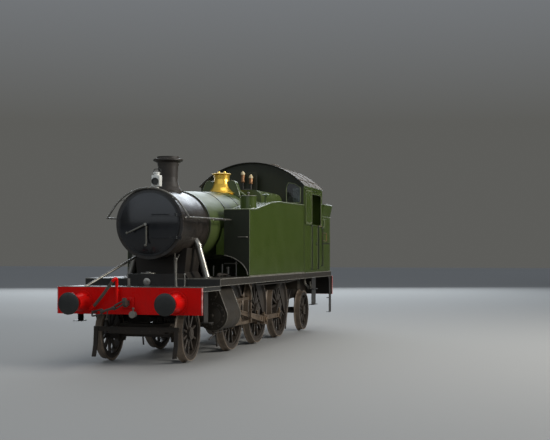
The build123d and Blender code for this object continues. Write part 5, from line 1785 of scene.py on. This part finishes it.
    def _fire_doors(self) -> None:
        """Model the fire doors and the bolts on the back of the boiler."""
        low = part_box("backhead")[0]
        hole = low.x + 0.055
        iron = [block(*lifted(corners, hole), bevel) for bevel, *corners in self.fire_door]
        iron.append(pipe(lifted(self.fire_handle, hole), 0.009, 0.02))
        turns = [math.radians(20 * k) for k in range(10)]
        half = self.backhead_half
        bolts = [(low.x + 0.094, half * math.cos(a) * 0.93, up(2.55) + half * math.sin(a)) for a in turns]
        fit("fire_door_and_bolts", IRON, [*iron, heads(bolts, REAR, 0.012, 0.008, 6)])

    def _crew_fittings(self) -> None:
        """Model the reversing lever, brake standard, hand brake and seats."""
        steel = [
            *blocks((0.006, (-2.95, -0.8, self.floor), (-2.45, -0.74, 1.74))),
            *bars(*self.levers),
            ring((-3.95, 0.8, up(2.46)), UP, 0.12, 0.012, 36),
        ]
        fit("cab_controls", STEEL, steel)
        seats = [
            block((-4.0, 0.85, up(2.02)), (-3.66, 1.22, up(2.055)), 0.01, 3),
            block((-3.98, 0.9, up(self.floor)), (-3.7, 1.2, up(2.02)), 0.008, 2),
        ]
        fit("cab_seats", BOARDS, seats, SIDES)


@dataclass
class Bunker:
    """Beading, steps, rails and lamp irons of the bunker."""

    rear_x: float = -4.99
    front_x: float = -4.11
    top: float = up(3.12)
    waist: float = up(2.82)
    side_y: float = 1.275
    # X and height over the rail
    plate: Pairs = (
        (-4.593, 2.214), (-4.144, 2.214), (-4.144, 2.409), (-4.593, 2.409),
    )
    # Y and height over the rail
    irons: Pairs = ((-0.98, 1.62), (0.98, 1.62), (0.0, 2.7), (0.0, 1.62))
    steps: Pairs = ((0.62, 1.95), (0.62, 2.35), (-0.62, 1.95), (-0.62, 2.35))
    # Y and height over the rail of both ends
    rails: tuple[tuple[float, ...], ...] = ((1.13, 1.6, 1.13, 2.6), (0.35, 2.55, 0.9, 2.55))
    rail_out: float = 0.045
    rivet_gap: float = 0.11

    def build(self) -> None:
        """Model the bunker's fittings."""
        self._beading()
        self._rear_fittings()

    def _beading(self) -> None:
        """Model the beading round the top and the waist, the joint strips and the bare plates' rims."""
        low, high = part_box("bunker")
        near, far, out = self.front_x, low.x + 0.004, high.y - 0.004
        rear, side, waist = self.rear_x - 0.002, self.side_y, self.waist
        rim = ((near, out, self.top), (far, out, self.top), (far, -out, self.top), (near, -out, self.top))
        lines = [pipe(rim, 0.013, 0.06)]
        for y in (side + 0.003, -side - 0.003):
            lines.append(pipe(((near, y, waist), (rear, y, waist)), 0.007))
        lines.append(pipe(((rear, side, waist), (rear, -side, waist)), 0.007))
        fit("bunker_beading", BEADING, lines)
        joint = ((self.rear_x + 0.01, side - 0.001, up(2.135)), (near - 0.005, side + 0.003, up(2.165)))
        fit("bunker_joint_strips", SHADED, [block(*joint, 0.001, 1)], SIDES)
        bare = pipe([(x, side + 0.003, up(z)) for x, z in self.plate], 0.007, 0.02, closed=True)
        fit("bare_plate_rims", COPPER, [bare], SIDES)

    def _rear_fittings(self) -> None:
        """Model the lamp irons, steps, rails and rivets on the bunker's back."""
        x = self.rear_x
        irons = []
        for y, z in self.irons:
            irons += [
                block((x - 0.05, y - 0.025, up(z)), (x - 0.04, y + 0.025, up(z) + 0.16), 0.002),
                block((x - 0.052, y - 0.025, up(z)), (x + 0.004, y + 0.025, up(z) + 0.012), 0.002),
            ]
        fit("rear_lamp_irons", BLACK, irons)
        treads = [
            block((x - 0.05, y - 0.12, up(z)), (x + 0.002, y + 0.12, up(z) + 0.014), 0.003)
            for y, z in self.steps
        ]
        fit("rear_steps", BLACK, treads)
        out = x - self.rail_out
        rows = [(0.011, 0.03, (x, a, b), (out, a, b), (out, c, d), (x, c, d)) for a, b, c, d in self.rails]
        fit("rear_handrails", STEEL, bars(*rows), SIDES)
        places = [(x, y, up(1.55) + self.rivet_gap * k) for y in (-1.235, 1.235) for k in range(12)]
        places += [(x, -1.1 + self.rivet_gap * k, up(1.5)) for k in range(21)]
        fit("bunker_rivets", GREEN, [heads(places, REAR, 0.007, 0.0025, 6)])


# Running gear


@dataclass(frozen=True)
class Gear:
    """Crank, crosshead and connecting rod places of one side."""

    side: str
    sign: int
    crank: float
    gudgeon_x: float
    throw: float = 0.305
    driving_x: float = 0.005
    axle_z: float = up(0.705)
    gudgeon_z: float = up(0.769)

    @property
    def pin(self) -> tuple[float, float]:
        """Offset of the crank pins from their axles, in X and Z."""
        turn = math.radians(self.crank)
        return self.throw * math.cos(turn), self.throw * math.sin(turn)

    @property
    def tilt(self) -> float:
        """Degrees by which the connecting rod rises towards its front end.

        Returns:
            The angle.
        """
        across, rise = self.pin
        up_to, along = self.gudgeon_z - self.axle_z - rise, self.gudgeon_x - self.driving_x - across
        return math.degrees(math.atan2(up_to, along))

    @property
    def axis(self) -> Axis:
        """Direction away from the engine on this side."""
        return LEFT if self.sign > 0 else RIGHT

    def disc(self, profile: Pairs, x: float, y: float, z: float, sides: int) -> Piece:
        """Turn a piece that points outwards.

        Args:
            profile: Distance outwards and radius of each step.
            x: Place along the engine.
            y: Distance from the middle of the engine.
            z: Height.
            sides: Faces round the piece.

        Returns:
            The new piece.
        """
        return turned(profile, (x, self.sign * y, z), self.axis, sides)

    def cup(self, profile: Pairs, x: float, y: float, z: float) -> Piece:
        """Turn an oil cup that stands upright at a distance from the middle of the engine."""
        return turned(profile, (x, self.sign * y, z), UP, 16)

    def nuts(self, places: Run, radius: float, height: float) -> Piece:
        """Nuts that point outwards, with each Y the distance from the middle of the engine."""
        return heads([(x, self.sign * y, z) for x, y, z in places], self.axis, radius, height, 6)

    def slab(self, low: Point, high: Point, bevel: float) -> Piece:
        """Bar with eased edges, with each Y the distance from the middle of the engine."""
        near, far = sorted((self.sign * low[1], self.sign * high[1]))
        return block((low[0], near, low[2]), (high[0], far, high[2]), bevel)


GEARS = (Gear("left", 1, -40.0, 2.12581), Gear("right", -1, -130.0, 1.69055))


@dataclass
class Motion:
    """Oil cups, nuts, cotters and cylinder fittings of both sides."""

    # axle, radius of the coupling rod's boss
    bosses: tuple[tuple[Axle, float], ...] = tuple(zip(COUPLED, (0.088, 0.112, 0.088)))
    boss_rim_inside: float = 0.012
    rod_y: float = 0.87
    knuckle: float = 0.3
    coupling_cup: Pairs = (
        (-0.004, 0.02), (0.018, 0.02), (0.022, 0.026), (0.032, 0.026), (0.038, 0.012), (0.046, 0.01),
    )
    rear_knuckle: Pairs = ((0, 0.03), (0.006, 0.03), (0.008, 0.018), (0.012, 0.016))
    front_knuckle: Pairs = ((0, 0.03), (0.006, 0.03), (0.01, 0.018))
    rod_length: float = 1.905
    big_cup: Pairs = ((0, 0.022), (0.022, 0.022), (0.026, 0.028), (0.04, 0.028), (0.048, 0.014))
    small_cup: Pairs = ((0, 0.016), (0.018, 0.016), (0.022, 0.021), (0.032, 0.021), (0.038, 0.01))
    big_cap: Pairs = ((0.0, 0.058), (0.016, 0.058), (0.022, 0.05), (0.024, 0.02), (0.034, 0.018))
    gudgeon_nut: Pairs = (
        (0, 0.052), (0.01, 0.052), (0.012, 0.036), (0.03, 0.036), (0.032, 0.02), (0.044, 0.018),
    )
    cylinder_y: float = 1.022
    cylinder_z: float = up(0.769)
    cylinder_front: float = 3.574
    cylinder_rear: float = 2.7
    valve_z: float = up(1.16)
    cover: Pairs = (
        (-0.004, 0.165), (0.01, 0.16), (0.02, 0.12), (0.026, 0.06), (0.028, 0.04), (0.05, 0.04),
        (0.056, 0.03), (0.07, 0.028),
    )
    gland: Pairs = ((0.0, 0.075), (0.02, 0.075), (0.026, 0.055), (0.06, 0.052), (0.064, 0.042))
    clothing_x: tuple[float, ...] = (2.745, 3.53)
    clothing_reach: float = 0.274
    cock: Pairs = (
        (-0.01, 0.022), (0.02, 0.022), (0.024, 0.014), (0.06, 0.014), (0.064, 0.02), (0.08, 0.02),
    )
    cocks_x: tuple[float, ...] = (2.8, 3.125, 3.45)
    relief_valve: Pairs = (
        (0, 0.03), (0.03, 0.03), (0.036, 0.018), (0.075, 0.018), (0.08, 0.026), (0.1, 0.026),
    )
    bar_bolts_x: tuple[float, ...] = (1.4, 1.44, 2.6, 2.66)
    bar_lift: float = 0.255
    oil_cap: Pairs = ((0, 0.014), (0.014, 0.014), (0.02, 0.008))
    # radius, bend and run over the rail
    brace: Sequence = (
        0.012, 0.1, (2.1, 1.262, 1.318), (1.95, 1.262, 1.2), (1.62, 1.2, 1.0), (1.44, 1.11, 0.94),
    )

    def build(self) -> None:
        """Model the fittings of the rods, crossheads, slide bars and cylinders."""
        for gear in GEARS:
            self._coupling_rod(gear)
            self._connecting_rod(gear)
            self._crosshead(gear)
        self._cylinder_covers()
        fit("cylinder_clothing_bands", WORN, [self._wrap(x) for x in self.clothing_x], SIDES)
        self._cylinder_cocks()
        self._slide_bars()

    def _coupling_rod(self, gear: Gear) -> None:
        """Model the oil cups, bush rims and knuckle pins of a coupling rod.

        Args:
            gear: The side's places.
        """
        across, rise = gear.pin
        z = gear.axle_z + rise
        pieces = []
        for axle, boss in self.bosses:
            x = axle.x + across
            pieces.append(gear.cup(self.coupling_cup, x, self.rod_y, z + boss + 0.032))
            if axle.name != "driving":
                rim = boss - self.boss_rim_inside
                pieces.append(ring((x, gear.sign * (self.rod_y + 0.033), z), LEFT, rim, 0.005, 32))
        middle = gear.driving_x + across
        pieces.append(gear.disc(self.rear_knuckle, middle - self.knuckle, 0.894, z, 24))
        pieces.append(gear.disc(self.front_knuckle, middle + self.knuckle, 0.894, z, 24))
        fit(f"coupling_rod_cups_{gear.side}", RODS, pieces, body=f"{gear.side}_coupling_rod")

    def _connecting_rod(self, gear: Gear) -> None:
        """Model the strap bolts, cotter and oil cups of a connecting rod.

        Args:
            gear: The side's places.
        """
        big = -self.rod_length
        bolts = [(big + x, 1.067, z) for x in (-0.07, 0.07) for z in (-0.075, 0.075)]
        pieces = [
            gear.slab((big - 0.062, 0.985, 0.094), (big + 0.062, 1.06, 0.112), 0.006),
            gear.cup(self.big_cup, big, self.cylinder_y, 0.108),
            gear.cup(self.small_cup, 0, self.cylinder_y, 0.064),
            gear.slab((big + 0.08, 1.01, -0.118), (big + 0.104, 1.035, 0.122), 0.004),
            gear.nuts(bolts, 0.015, 0.012),
            gear.disc(self.big_cap, big, 1.083, 0, 32),
        ]
        whole = posed(joined(pieces), (gear.gudgeon_x, 0, gear.gudgeon_z), -gear.tilt)
        dress(whole, f"connecting_rod_fittings_{gear.side}", RODS, f"{gear.side}_connecting_rod")

    def _crosshead(self, gear: Gear) -> None:
        """Model the gudgeon nut, cotter and oil boxes of a crosshead.

        Args:
            gear: The side's places.
        """
        x, z, y = gear.gudgeon_x, gear.gudgeon_z, self.cylinder_y
        # X from and to and height from and to of the cotter and the oil boxes
        boxes = ((0.182, 0.206, -0.012, 0.012), (-0.12, -0.03, 0.145, 0.162), (0.04, 0.12, 0.145, 0.162))
        bolts = [(x + dx, 1.084, z + dz) for dx in (-0.12, 0.0, 0.12) for dz in (-0.183, 0.183)]
        pieces = [
            gear.disc(self.gudgeon_nut, x, 1.09, z, 6),
            *[gear.slab((x + a, y - 0.058, z + c), (x + b, y + 0.058, z + d), 0.004) for a, b, c, d in boxes],
            band((x + 0.222, gear.sign * y, z), FRONT, 0.033, 0.03, 0.012, 28),
            gear.nuts(bolts, 0.014, 0.01),
        ]
        fit(f"crosshead_fittings_{gear.side}", RODS, pieces, body=f"{gear.side}_crosshead")

    def _cylinder_covers(self) -> None:
        """Model the covers and glands of the cylinders and the nuts round them."""
        y, z, front = self.cylinder_y, self.cylinder_z, self.cylinder_front
        # X of the cover's face, direction, ring of the studs, degrees between them, centre Y and Z
        rings = (
            (front, FRONT, 0.212, 30, y, z),
            (self.cylinder_rear, REAR, 0.212, 30, y, z),
            (front + 0.006, FRONT, 0.094, 60, y - 0.022, self.valve_z),
        )
        nuts = [
            around(heads([(x, 0, reach)], axis, 0.015, 0.02, 6), range(0, 360, step), (0, across, height))
            for x, axis, reach, step, across, height in rings
        ]
        fit("cylinder_cover_nuts", IRON, nuts, SIDES)
        ends = [
            turned(self.cover, (front, y, z), FRONT, 40),
            turned(self.gland, (2.632, y, z), REAR, 32),
        ]
        fit("cylinder_cover_domes", MUDDY, ends, SIDES)

    def _cylinder_cocks(self) -> None:
        """Model the drain cocks with their rod and pipe, and the relief valve."""
        y, z = self.cylinder_y, self.cylinder_z
        cocks = [turned(self.cock, (x, y, z - 0.272), DOWN, 16) for x in self.cocks_x]
        cocks += [
            pipe(((2.76, y + 0.02, z - 0.315), (3.52, y + 0.02, z - 0.315)), 0.008),
            pipe(((3.45, y, z - 0.34), (3.72, y - 0.01, z - 0.42)), 0.013),
            turned(self.relief_valve, (self.cylinder_front + 0.02, y, z - 0.15), FRONT, 20),
        ]
        fit("cylinder_cocks", IRON, cocks, SIDES)

    def _wrap(self, x: float) -> Piece:
        """Bend a strip round the cylinder and its valve chest.

        Args:
            x: Place along the engine.

        Returns:
            The strip.
        """
        y, z, reach = self.cylinder_y, self.cylinder_z, self.clothing_reach
        turns = [math.radians(-150 + 160 * k / 24) for k in range(25)]
        points = [(x, y + reach * math.cos(a), z + reach * math.sin(a)) for a in turns]
        chest = [math.radians(a) for a in (12, 25)]
        points += [(x, y + 0.128 * math.cos(a), self.valve_z + 0.153 * math.sin(a)) for a in chest]
        return pipe(points, 0.008, 0.02)

    def _slide_bars(self) -> None:
        """Model the bolts, oil boxes and braces of the slide bars and their hangers."""
        y, z = self.cylinder_y, self.cylinder_z
        top = z + self.bar_lift
        pieces = []
        for height, axis in ((top, UP), (z - self.bar_lift, DOWN)):
            bolts = [(x, y + dy, height) for x in self.bar_bolts_x for dy in (-0.025, 0.025)]
            pieces.append(heads(bolts, axis, 0.013, 0.016, 6))
        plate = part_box("slide_bars")[1].y
        hanger = [(1.405, plate, height) for height in (z - 0.16, z, z + 0.16, up(1.25), up(1.38))]
        pieces.append(heads(hanger, LEFT, 0.014, 0.012, 6))
        for x in (1.75, 2.25):
            pieces.append(block((x - 0.05, y - 0.03, top - 0.002), (x + 0.05, y + 0.03, top + 0.035), 0.006))
            pieces.append(turned(self.oil_cap, (x, y, top + 0.033), UP, 12))
        fit("slide_bar_fittings", RODS, pieces, SIDES)
        fit("hanger_braces", WORN, bars(self.brace), SIDES)


@dataclass
class Wheels:
    """Pin caps, hub ends and tyre lips of the wheelsets."""

    pin_y: float = 0.907
    # distance outwards, share of the hub's radius
    hub_end: Pairs = ((-0.002, 0.62), (0.006, 0.62), (0.008, 0.55), (0.008, 0.18), (0.002, 0.15))
    lip_y: float = 0.805 * 1.0185
    lip_inside: float = 0.077
    washer: Pairs = ((0, 0.062), (0.007, 0.062), (0.01, 0.056))
    nut: Pairs = ((0.008, 0.04), (0.019, 0.04), (0.022, 0.034))

    def build(self) -> None:
        """Model the fittings of every wheelset, with no caps where the pins run on into the rods."""
        for axle in AXLES:
            z = up(axle.tread)
            pieces = []
            for gear in GEARS:
                end = [(along, axle.hub * share) for along, share in self.hub_end]
                pieces.append(gear.disc(end, axle.x, axle.hub_face, z, 32))
                if axle in COUPLED and axle.name != "driving":
                    across, rise = gear.pin
                    place = (axle.x + across, self.pin_y, z + rise)
                    pieces += [gear.disc(self.washer, *place, 32), gear.disc(self.nut, *place, 6)]
            for y in (self.lip_y, -self.lip_y):
                pieces.append(ring((axle.x, y, z), LEFT, axle.tread - self.lip_inside, 0.004, 72))
            fit(f"{axle.name}_axle_fittings", IRON, pieces, body=f"{axle.name}_axle")


@dataclass
class Underframe:
    """Springs, pipes, brake rods and valance brackets below the platform."""

    plate_z: float = up(1.448)
    valance_z: float = up(1.318)
    frame_y: float = 0.654
    spring_y: float = 0.6
    spring_half: float = 0.5
    leaves: int = 7
    leaf_step: float = 0.058
    leaf_pitch: float = 0.016
    leaf_width: float = 0.1
    leaf_thick: float = 0.013
    # X from and to of each brake pull rod
    pull_rods: Pairs = ((0.985, -0.745), (-0.77, -2.5))
    beams_x: tuple[float, ...] = (0.99, -0.76, -2.51)
    beam_pin: Pairs = ((0, 0.024), (0.012, 0.024), (0.016, 0.014))
    hanger_pin: Pairs = ((0, 0.022), (0.01, 0.022), (0.014, 0.012))
    # radius, bend and run over the rail
    injector_pipe: Sequence = (
        0.028, 0.12, (-3.0, 1.1, 1.3), (-3.0, 1.1, 1.19), (-3.45, 1.1, 1.06), (-3.8, 1.1, 1.02),
        (-3.95, 1.05, 1.2), (-3.95, 1.05, 1.44),
    )
    injector: Pairs = (
        (0, 0.05), (0.03, 0.05), (0.036, 0.036), (0.2, 0.036), (0.206, 0.055), (0.24, 0.055),
    )
    injector_cap: Pairs = ((0, 0.034), (0.05, 0.034), (0.056, 0.024), (0.12, 0.024))
    sand_pipes: tuple[Sequence, ...] = (
        (0.016, 0.1, (-2.83, 0.8, 1.06), (-2.8, 0.76, 0.85), (-2.58, 0.755, 0.35), (-2.5, 0.755, 0.12)),
        (0.016, 0.1, (2.6, 0.66, 1.1), (2.6, 0.755, 0.85), (2.6, 0.755, 0.5), (2.52, 0.755, 0.12)),
        (0.02, 0.1, (-2.0, 1.16, 1.3), (-1.2, 1.16, 1.27), (1.3, 1.16, 1.27), (1.36, 1.16, 1.44)),
    )
    balance_pipe: Run = ((-0.9, 1.02, 1.43), (-0.9, 1.02, 1.16), (-0.9, 0.62, 1.16))
    brackets_x: tuple[float, ...] = (3.7, 0.88, -0.7, -2.62, -3.05, -3.75, -4.55)
    rivet_gap: float = 0.2
    truck_y: float = 0.522

    def build(self) -> None:
        """Model what hangs below the platform."""
        self._springs()
        self._brake_rods()
        self._pipes()
        self._valance()
        self._truck()

    def _springs(self) -> None:
        """Model the leaf springs and hangers under the coupled axleboxes."""
        y, pieces = self.spring_y, []
        for axle in COUPLED:
            x = axle.x
            for k in range(self.leaves):
                half, z = self.spring_half - self.leaf_step * k, up(0.355) - self.leaf_pitch * k
                bow = [(x + half * share, z + rise) for share, rise in (
                    (-1, 0.028), (-0.5, 0.007), (0, 0), (0.5, 0.007), (1, 0.028),
                )]
                near = y - self.leaf_width / 2
                outline = [(along, near, height) for along, height in bow]
                outline += [(along, near, height + self.leaf_thick) for along, height in reversed(bow)]
                pieces.append(panel(outline, (0, self.leaf_width, 0), 0.001))
            pieces.append(block((x - 0.045, y - 0.055, up(0.235)), (x + 0.045, y + 0.055, up(0.385)), 0.008))
            for end in (x - 0.48, x + 0.48):
                pieces.append(pipe(((end, y, up(0.37)), (end, y, up(0.66))), 0.018))
        fit("leaf_springs", UNDER, pieces, SIDES)

    def _brake_rods(self) -> None:
        """Model the brake pull rods, pins and safety stirrups."""
        y, z = 0.4, up(0.36)
        pieces = []
        for a, b in self.pull_rods:
            pieces.append(pipe(((a, y, z), (b, y, z)), 0.016))
            pieces.append(block((a - 0.05, y - 0.02, z - 0.03), (a + 0.05, y + 0.02, z + 0.03), 0.008))
        for x in self.beams_x:
            pieces.append(turned(self.beam_pin, (x, y + 0.018, z), LEFT, 16))
            pieces.append(turned(self.hanger_pin, (x + 0.01, 0.762, up(1.17)), LEFT, 16))
        fit("brake_rods", UNDER, pieces, SIDES)

    def _pipes(self) -> None:
        """Model the injectors, feed and sand pipes below the cab and the tanks."""
        injectors = [
            *bars(self.injector_pipe),
            turned(self.injector, (-3.42, 1.1, up(1.07)), REAR, 24),
            turned(self.injector_cap, (-3.52, 1.1, up(1.09)), UP, 20),
        ]
        fit("injectors", WORN, injectors, SIDES)
        fit("sand_and_drain_pipes", IRON, bars(*self.sand_pipes), SIDES)
        fit("tank_balance_pipe", MUDDY, [pipe(lifted(self.balance_pipe), 0.075, 0.16, 5)], SIDES)

    def _valance(self) -> None:
        """Model the brackets, rivets and edge of the valance."""
        low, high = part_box("running_plates")
        y, inner = high.y, self.frame_y
        # Y and height of the bracket's corners
        corners = (
            (inner, up(1.436)), (y - 0.014, up(1.436)), (y - 0.014, self.valance_z + 0.01),
            (inner + 0.3, up(1.4)), (inner, up(1.22)),
        )
        plates = [panel([(x, *corner) for corner in corners], (0.012, 0, 0), 0.001) for x in self.brackets_x]
        fit("platform_brackets", UNDER, plates, SIDES)
        plate, valance = self.plate_z, self.valance_z
        # how far inwards, foot and top
        rows = ((0.004, plate - 0.014, plate + 0.003), (0.003, valance - 0.002, valance + 0.008))
        strips = [block((low.x, y - into, a), (high.x, y + 0.003, b), 0.002, 1) for into, a, b in rows]
        fit("valance_edges", WORN, strips, SIDES)
        places = [(3.9 - self.rivet_gap * k, y, self.valance_z + 0.055) for k in range(43)]
        fit("valance_rivets", MUDDY, [heads(places, LEFT, 0.009, 0.005)], SIDES)

    def _truck(self) -> None:
        """Model the bolts of the leading truck's axlebox guides and front beam."""
        x, z, front = AXLES[0].x, up(AXLES[0].tread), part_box("leading_truck")[1].x
        guides = [(x + dx, self.truck_y, z + dz) for dx in (-0.14, 0.14) for dz in (-0.1, 0.0, 0.1)]
        beam = [(front, y, up(0.55)) for y in (0.15, 0.3, 0.45)]
        bolts = [heads(guides, LEFT, 0.014, 0.012, 6), heads(beam, FRONT, 0.014, 0.01, 6)]
        fit("truck_bolts", UNDER, bolts, SIDES, body="truck")


# Studio


@dataclass
class Studio:
    """Floor, lights and the camera at the photograph's viewing angle."""

    camera_place: Point = (22.035, 7.381, 1.936)
    camera_yaw: float = 195.663
    camera_pitch: float = 1.767
    lens: float = 70.144
    sensor: float = 36
    far: float = 500
    floor_reach: float = 120.0
    floor_colour: Colour = (0.3, 0.3, 0.29)
    flag_place: Point = (-40, 24, 8)
    flag_size: Point = (16, 32, 1)
    flag_colour: Colour = (0.01, 0.012, 0.008)
    sky: float = 0.36
    # height and colour of the sky's foot and top
    sky_ramp: tuple[tuple[float, Colour], ...] = ((0.12, (0.3, 0.3, 0.28)), (0.45, (0.8, 0.88, 1.0)))
    warm: Colour = (1.0, 0.96, 0.9)
    cool: Colour = (0.86, 0.93, 1.0)

    def build(self) -> None:
        """Set up the floor, the lights and the camera."""
        clear()
        bpy.ops.mesh.primitive_plane_add(size=self.floor_reach * 2, location=(0, 0, 0))
        self._stage("studio_floor", self.floor_colour, 0.9)
        clear()
        bpy.ops.mesh.primitive_plane_add(size=1, location=self.flag_place, rotation=FRONT.value)
        bpy.context.object.scale = self.flag_size
        bpy.context.object.visible_camera = False
        bpy.ops.object.transform_apply(location=True, rotation=True, scale=True)
        self._stage("studio_flag", self.flag_colour, 1.0)
        self._sky()
        self._lamps()
        self._camera()
        bpy.context.scene.view_settings.view_transform = "Standard"

    def _stage(self, name: str, colour: Colour, roughness: float) -> None:
        """Make the active plane part of the studio: the pale floor, or the dark flag that the tank reflects.

        Args:
            name: Its name.
            colour: Its colour.
            roughness: Its roughness.
        """
        plane = bpy.context.object
        plane.name = name
        material = bpy.data.materials.new(name)
        material.use_nodes = True
        shader = material.node_tree.nodes["Principled BSDF"]
        Nodes(material.node_tree).feed(shader, {"Base Color": (*colour, 1), "Roughness": roughness})
        plane.data.materials.append(material)

    def _sky(self) -> None:
        """Put a pale sky over the studio, darker towards its foot."""
        world = bpy.data.worlds.new("studio_sky")
        bpy.context.scene.world = world
        world.use_nodes = True
        nodes = Nodes(world.node_tree)
        place = nodes.add("TexCoord", {}).outputs["Generated"]
        height = nodes.add("SeparateXYZ", {0: place}).outputs["Z"]
        shade = nodes.add("ValToRGB", {"Fac": height})
        for element, (position, colour) in zip(shade.color_ramp.elements, self.sky_ramp):
            element.position = position
            element.color = (*colour, 1)
        given = {"Strength": self.sky, "Color": shade.outputs["Color"]}
        nodes.feed(world.node_tree.nodes["Background"], given)

    def _lamps(self) -> None:
        """Hang soft lamps round the engine."""
        # name, place, target, width, height, watts, colour
        table = (
            ("lamp_side", (1, 20, 10), (0, 1, 1.8), 9, 6, 3300, self.warm),
            ("lamp_over", (-1, 2, 15), (0, 0, 2.0), 16, 8, 700, self.warm),
            ("card_front", (24, -2, 11), (5, 0, 2.0), 40, 16, 1200, self.cool),
            ("card_behind", (-32, -11, 13), (0, 0, 3.0), 32, 18, 6500, self.cool),
        )
        for name, place, target, width, height, watts, colour in table:
            clear()
            bpy.ops.object.light_add(type="AREA", location=place)
            lamp = bpy.context.object
            lamp.name = name
            lamp.data.shape = "RECTANGLE"
            lamp.data.size = width
            lamp.data.size_y = height
            lamp.data.energy = watts
            lamp.data.color = colour
            lamp.rotation_mode = "QUATERNION"
            lamp.rotation_quaternion = (Vector(target) - Vector(place)).to_track_quat("-Z", "Y")

    def _camera(self) -> None:
        """Stand the camera where the photograph was taken from."""
        data = bpy.data.cameras.new("camera")
        data.lens = self.lens
        data.sensor_width = self.sensor
        data.sensor_fit = "HORIZONTAL"
        data.clip_end = self.far
        camera = bpy.data.objects.new("camera", data)
        bpy.context.scene.collection.objects.link(camera)
        yaw, pitch = math.radians(self.camera_yaw), math.radians(self.camera_pitch)
        look = Vector((math.cos(yaw) * math.cos(pitch), math.sin(yaw) * math.cos(pitch), math.sin(pitch)))
        camera.location = self.camera_place
        camera.rotation_mode = "QUATERNION"
        camera.rotation_quaternion = look.to_track_quat("-Z", "Y")
        bpy.context.scene.camera = camera


def main() -> None:
    """Build the locomotive's looks in order."""
    logging.basicConfig(level=logging.INFO, format="%(message)s")
    parts = (
        Studio(), PackedSolids(), Ends(), VacuumHoses(), Platform(), Smokebox(), Boiler(), Whistles(),
        Tanks(), Cab(), Bunker(), Motion(), Wheels(), Underframe(),
    )
    for part in parts:
        part.build()


if __name__ == "__main__":
    main()
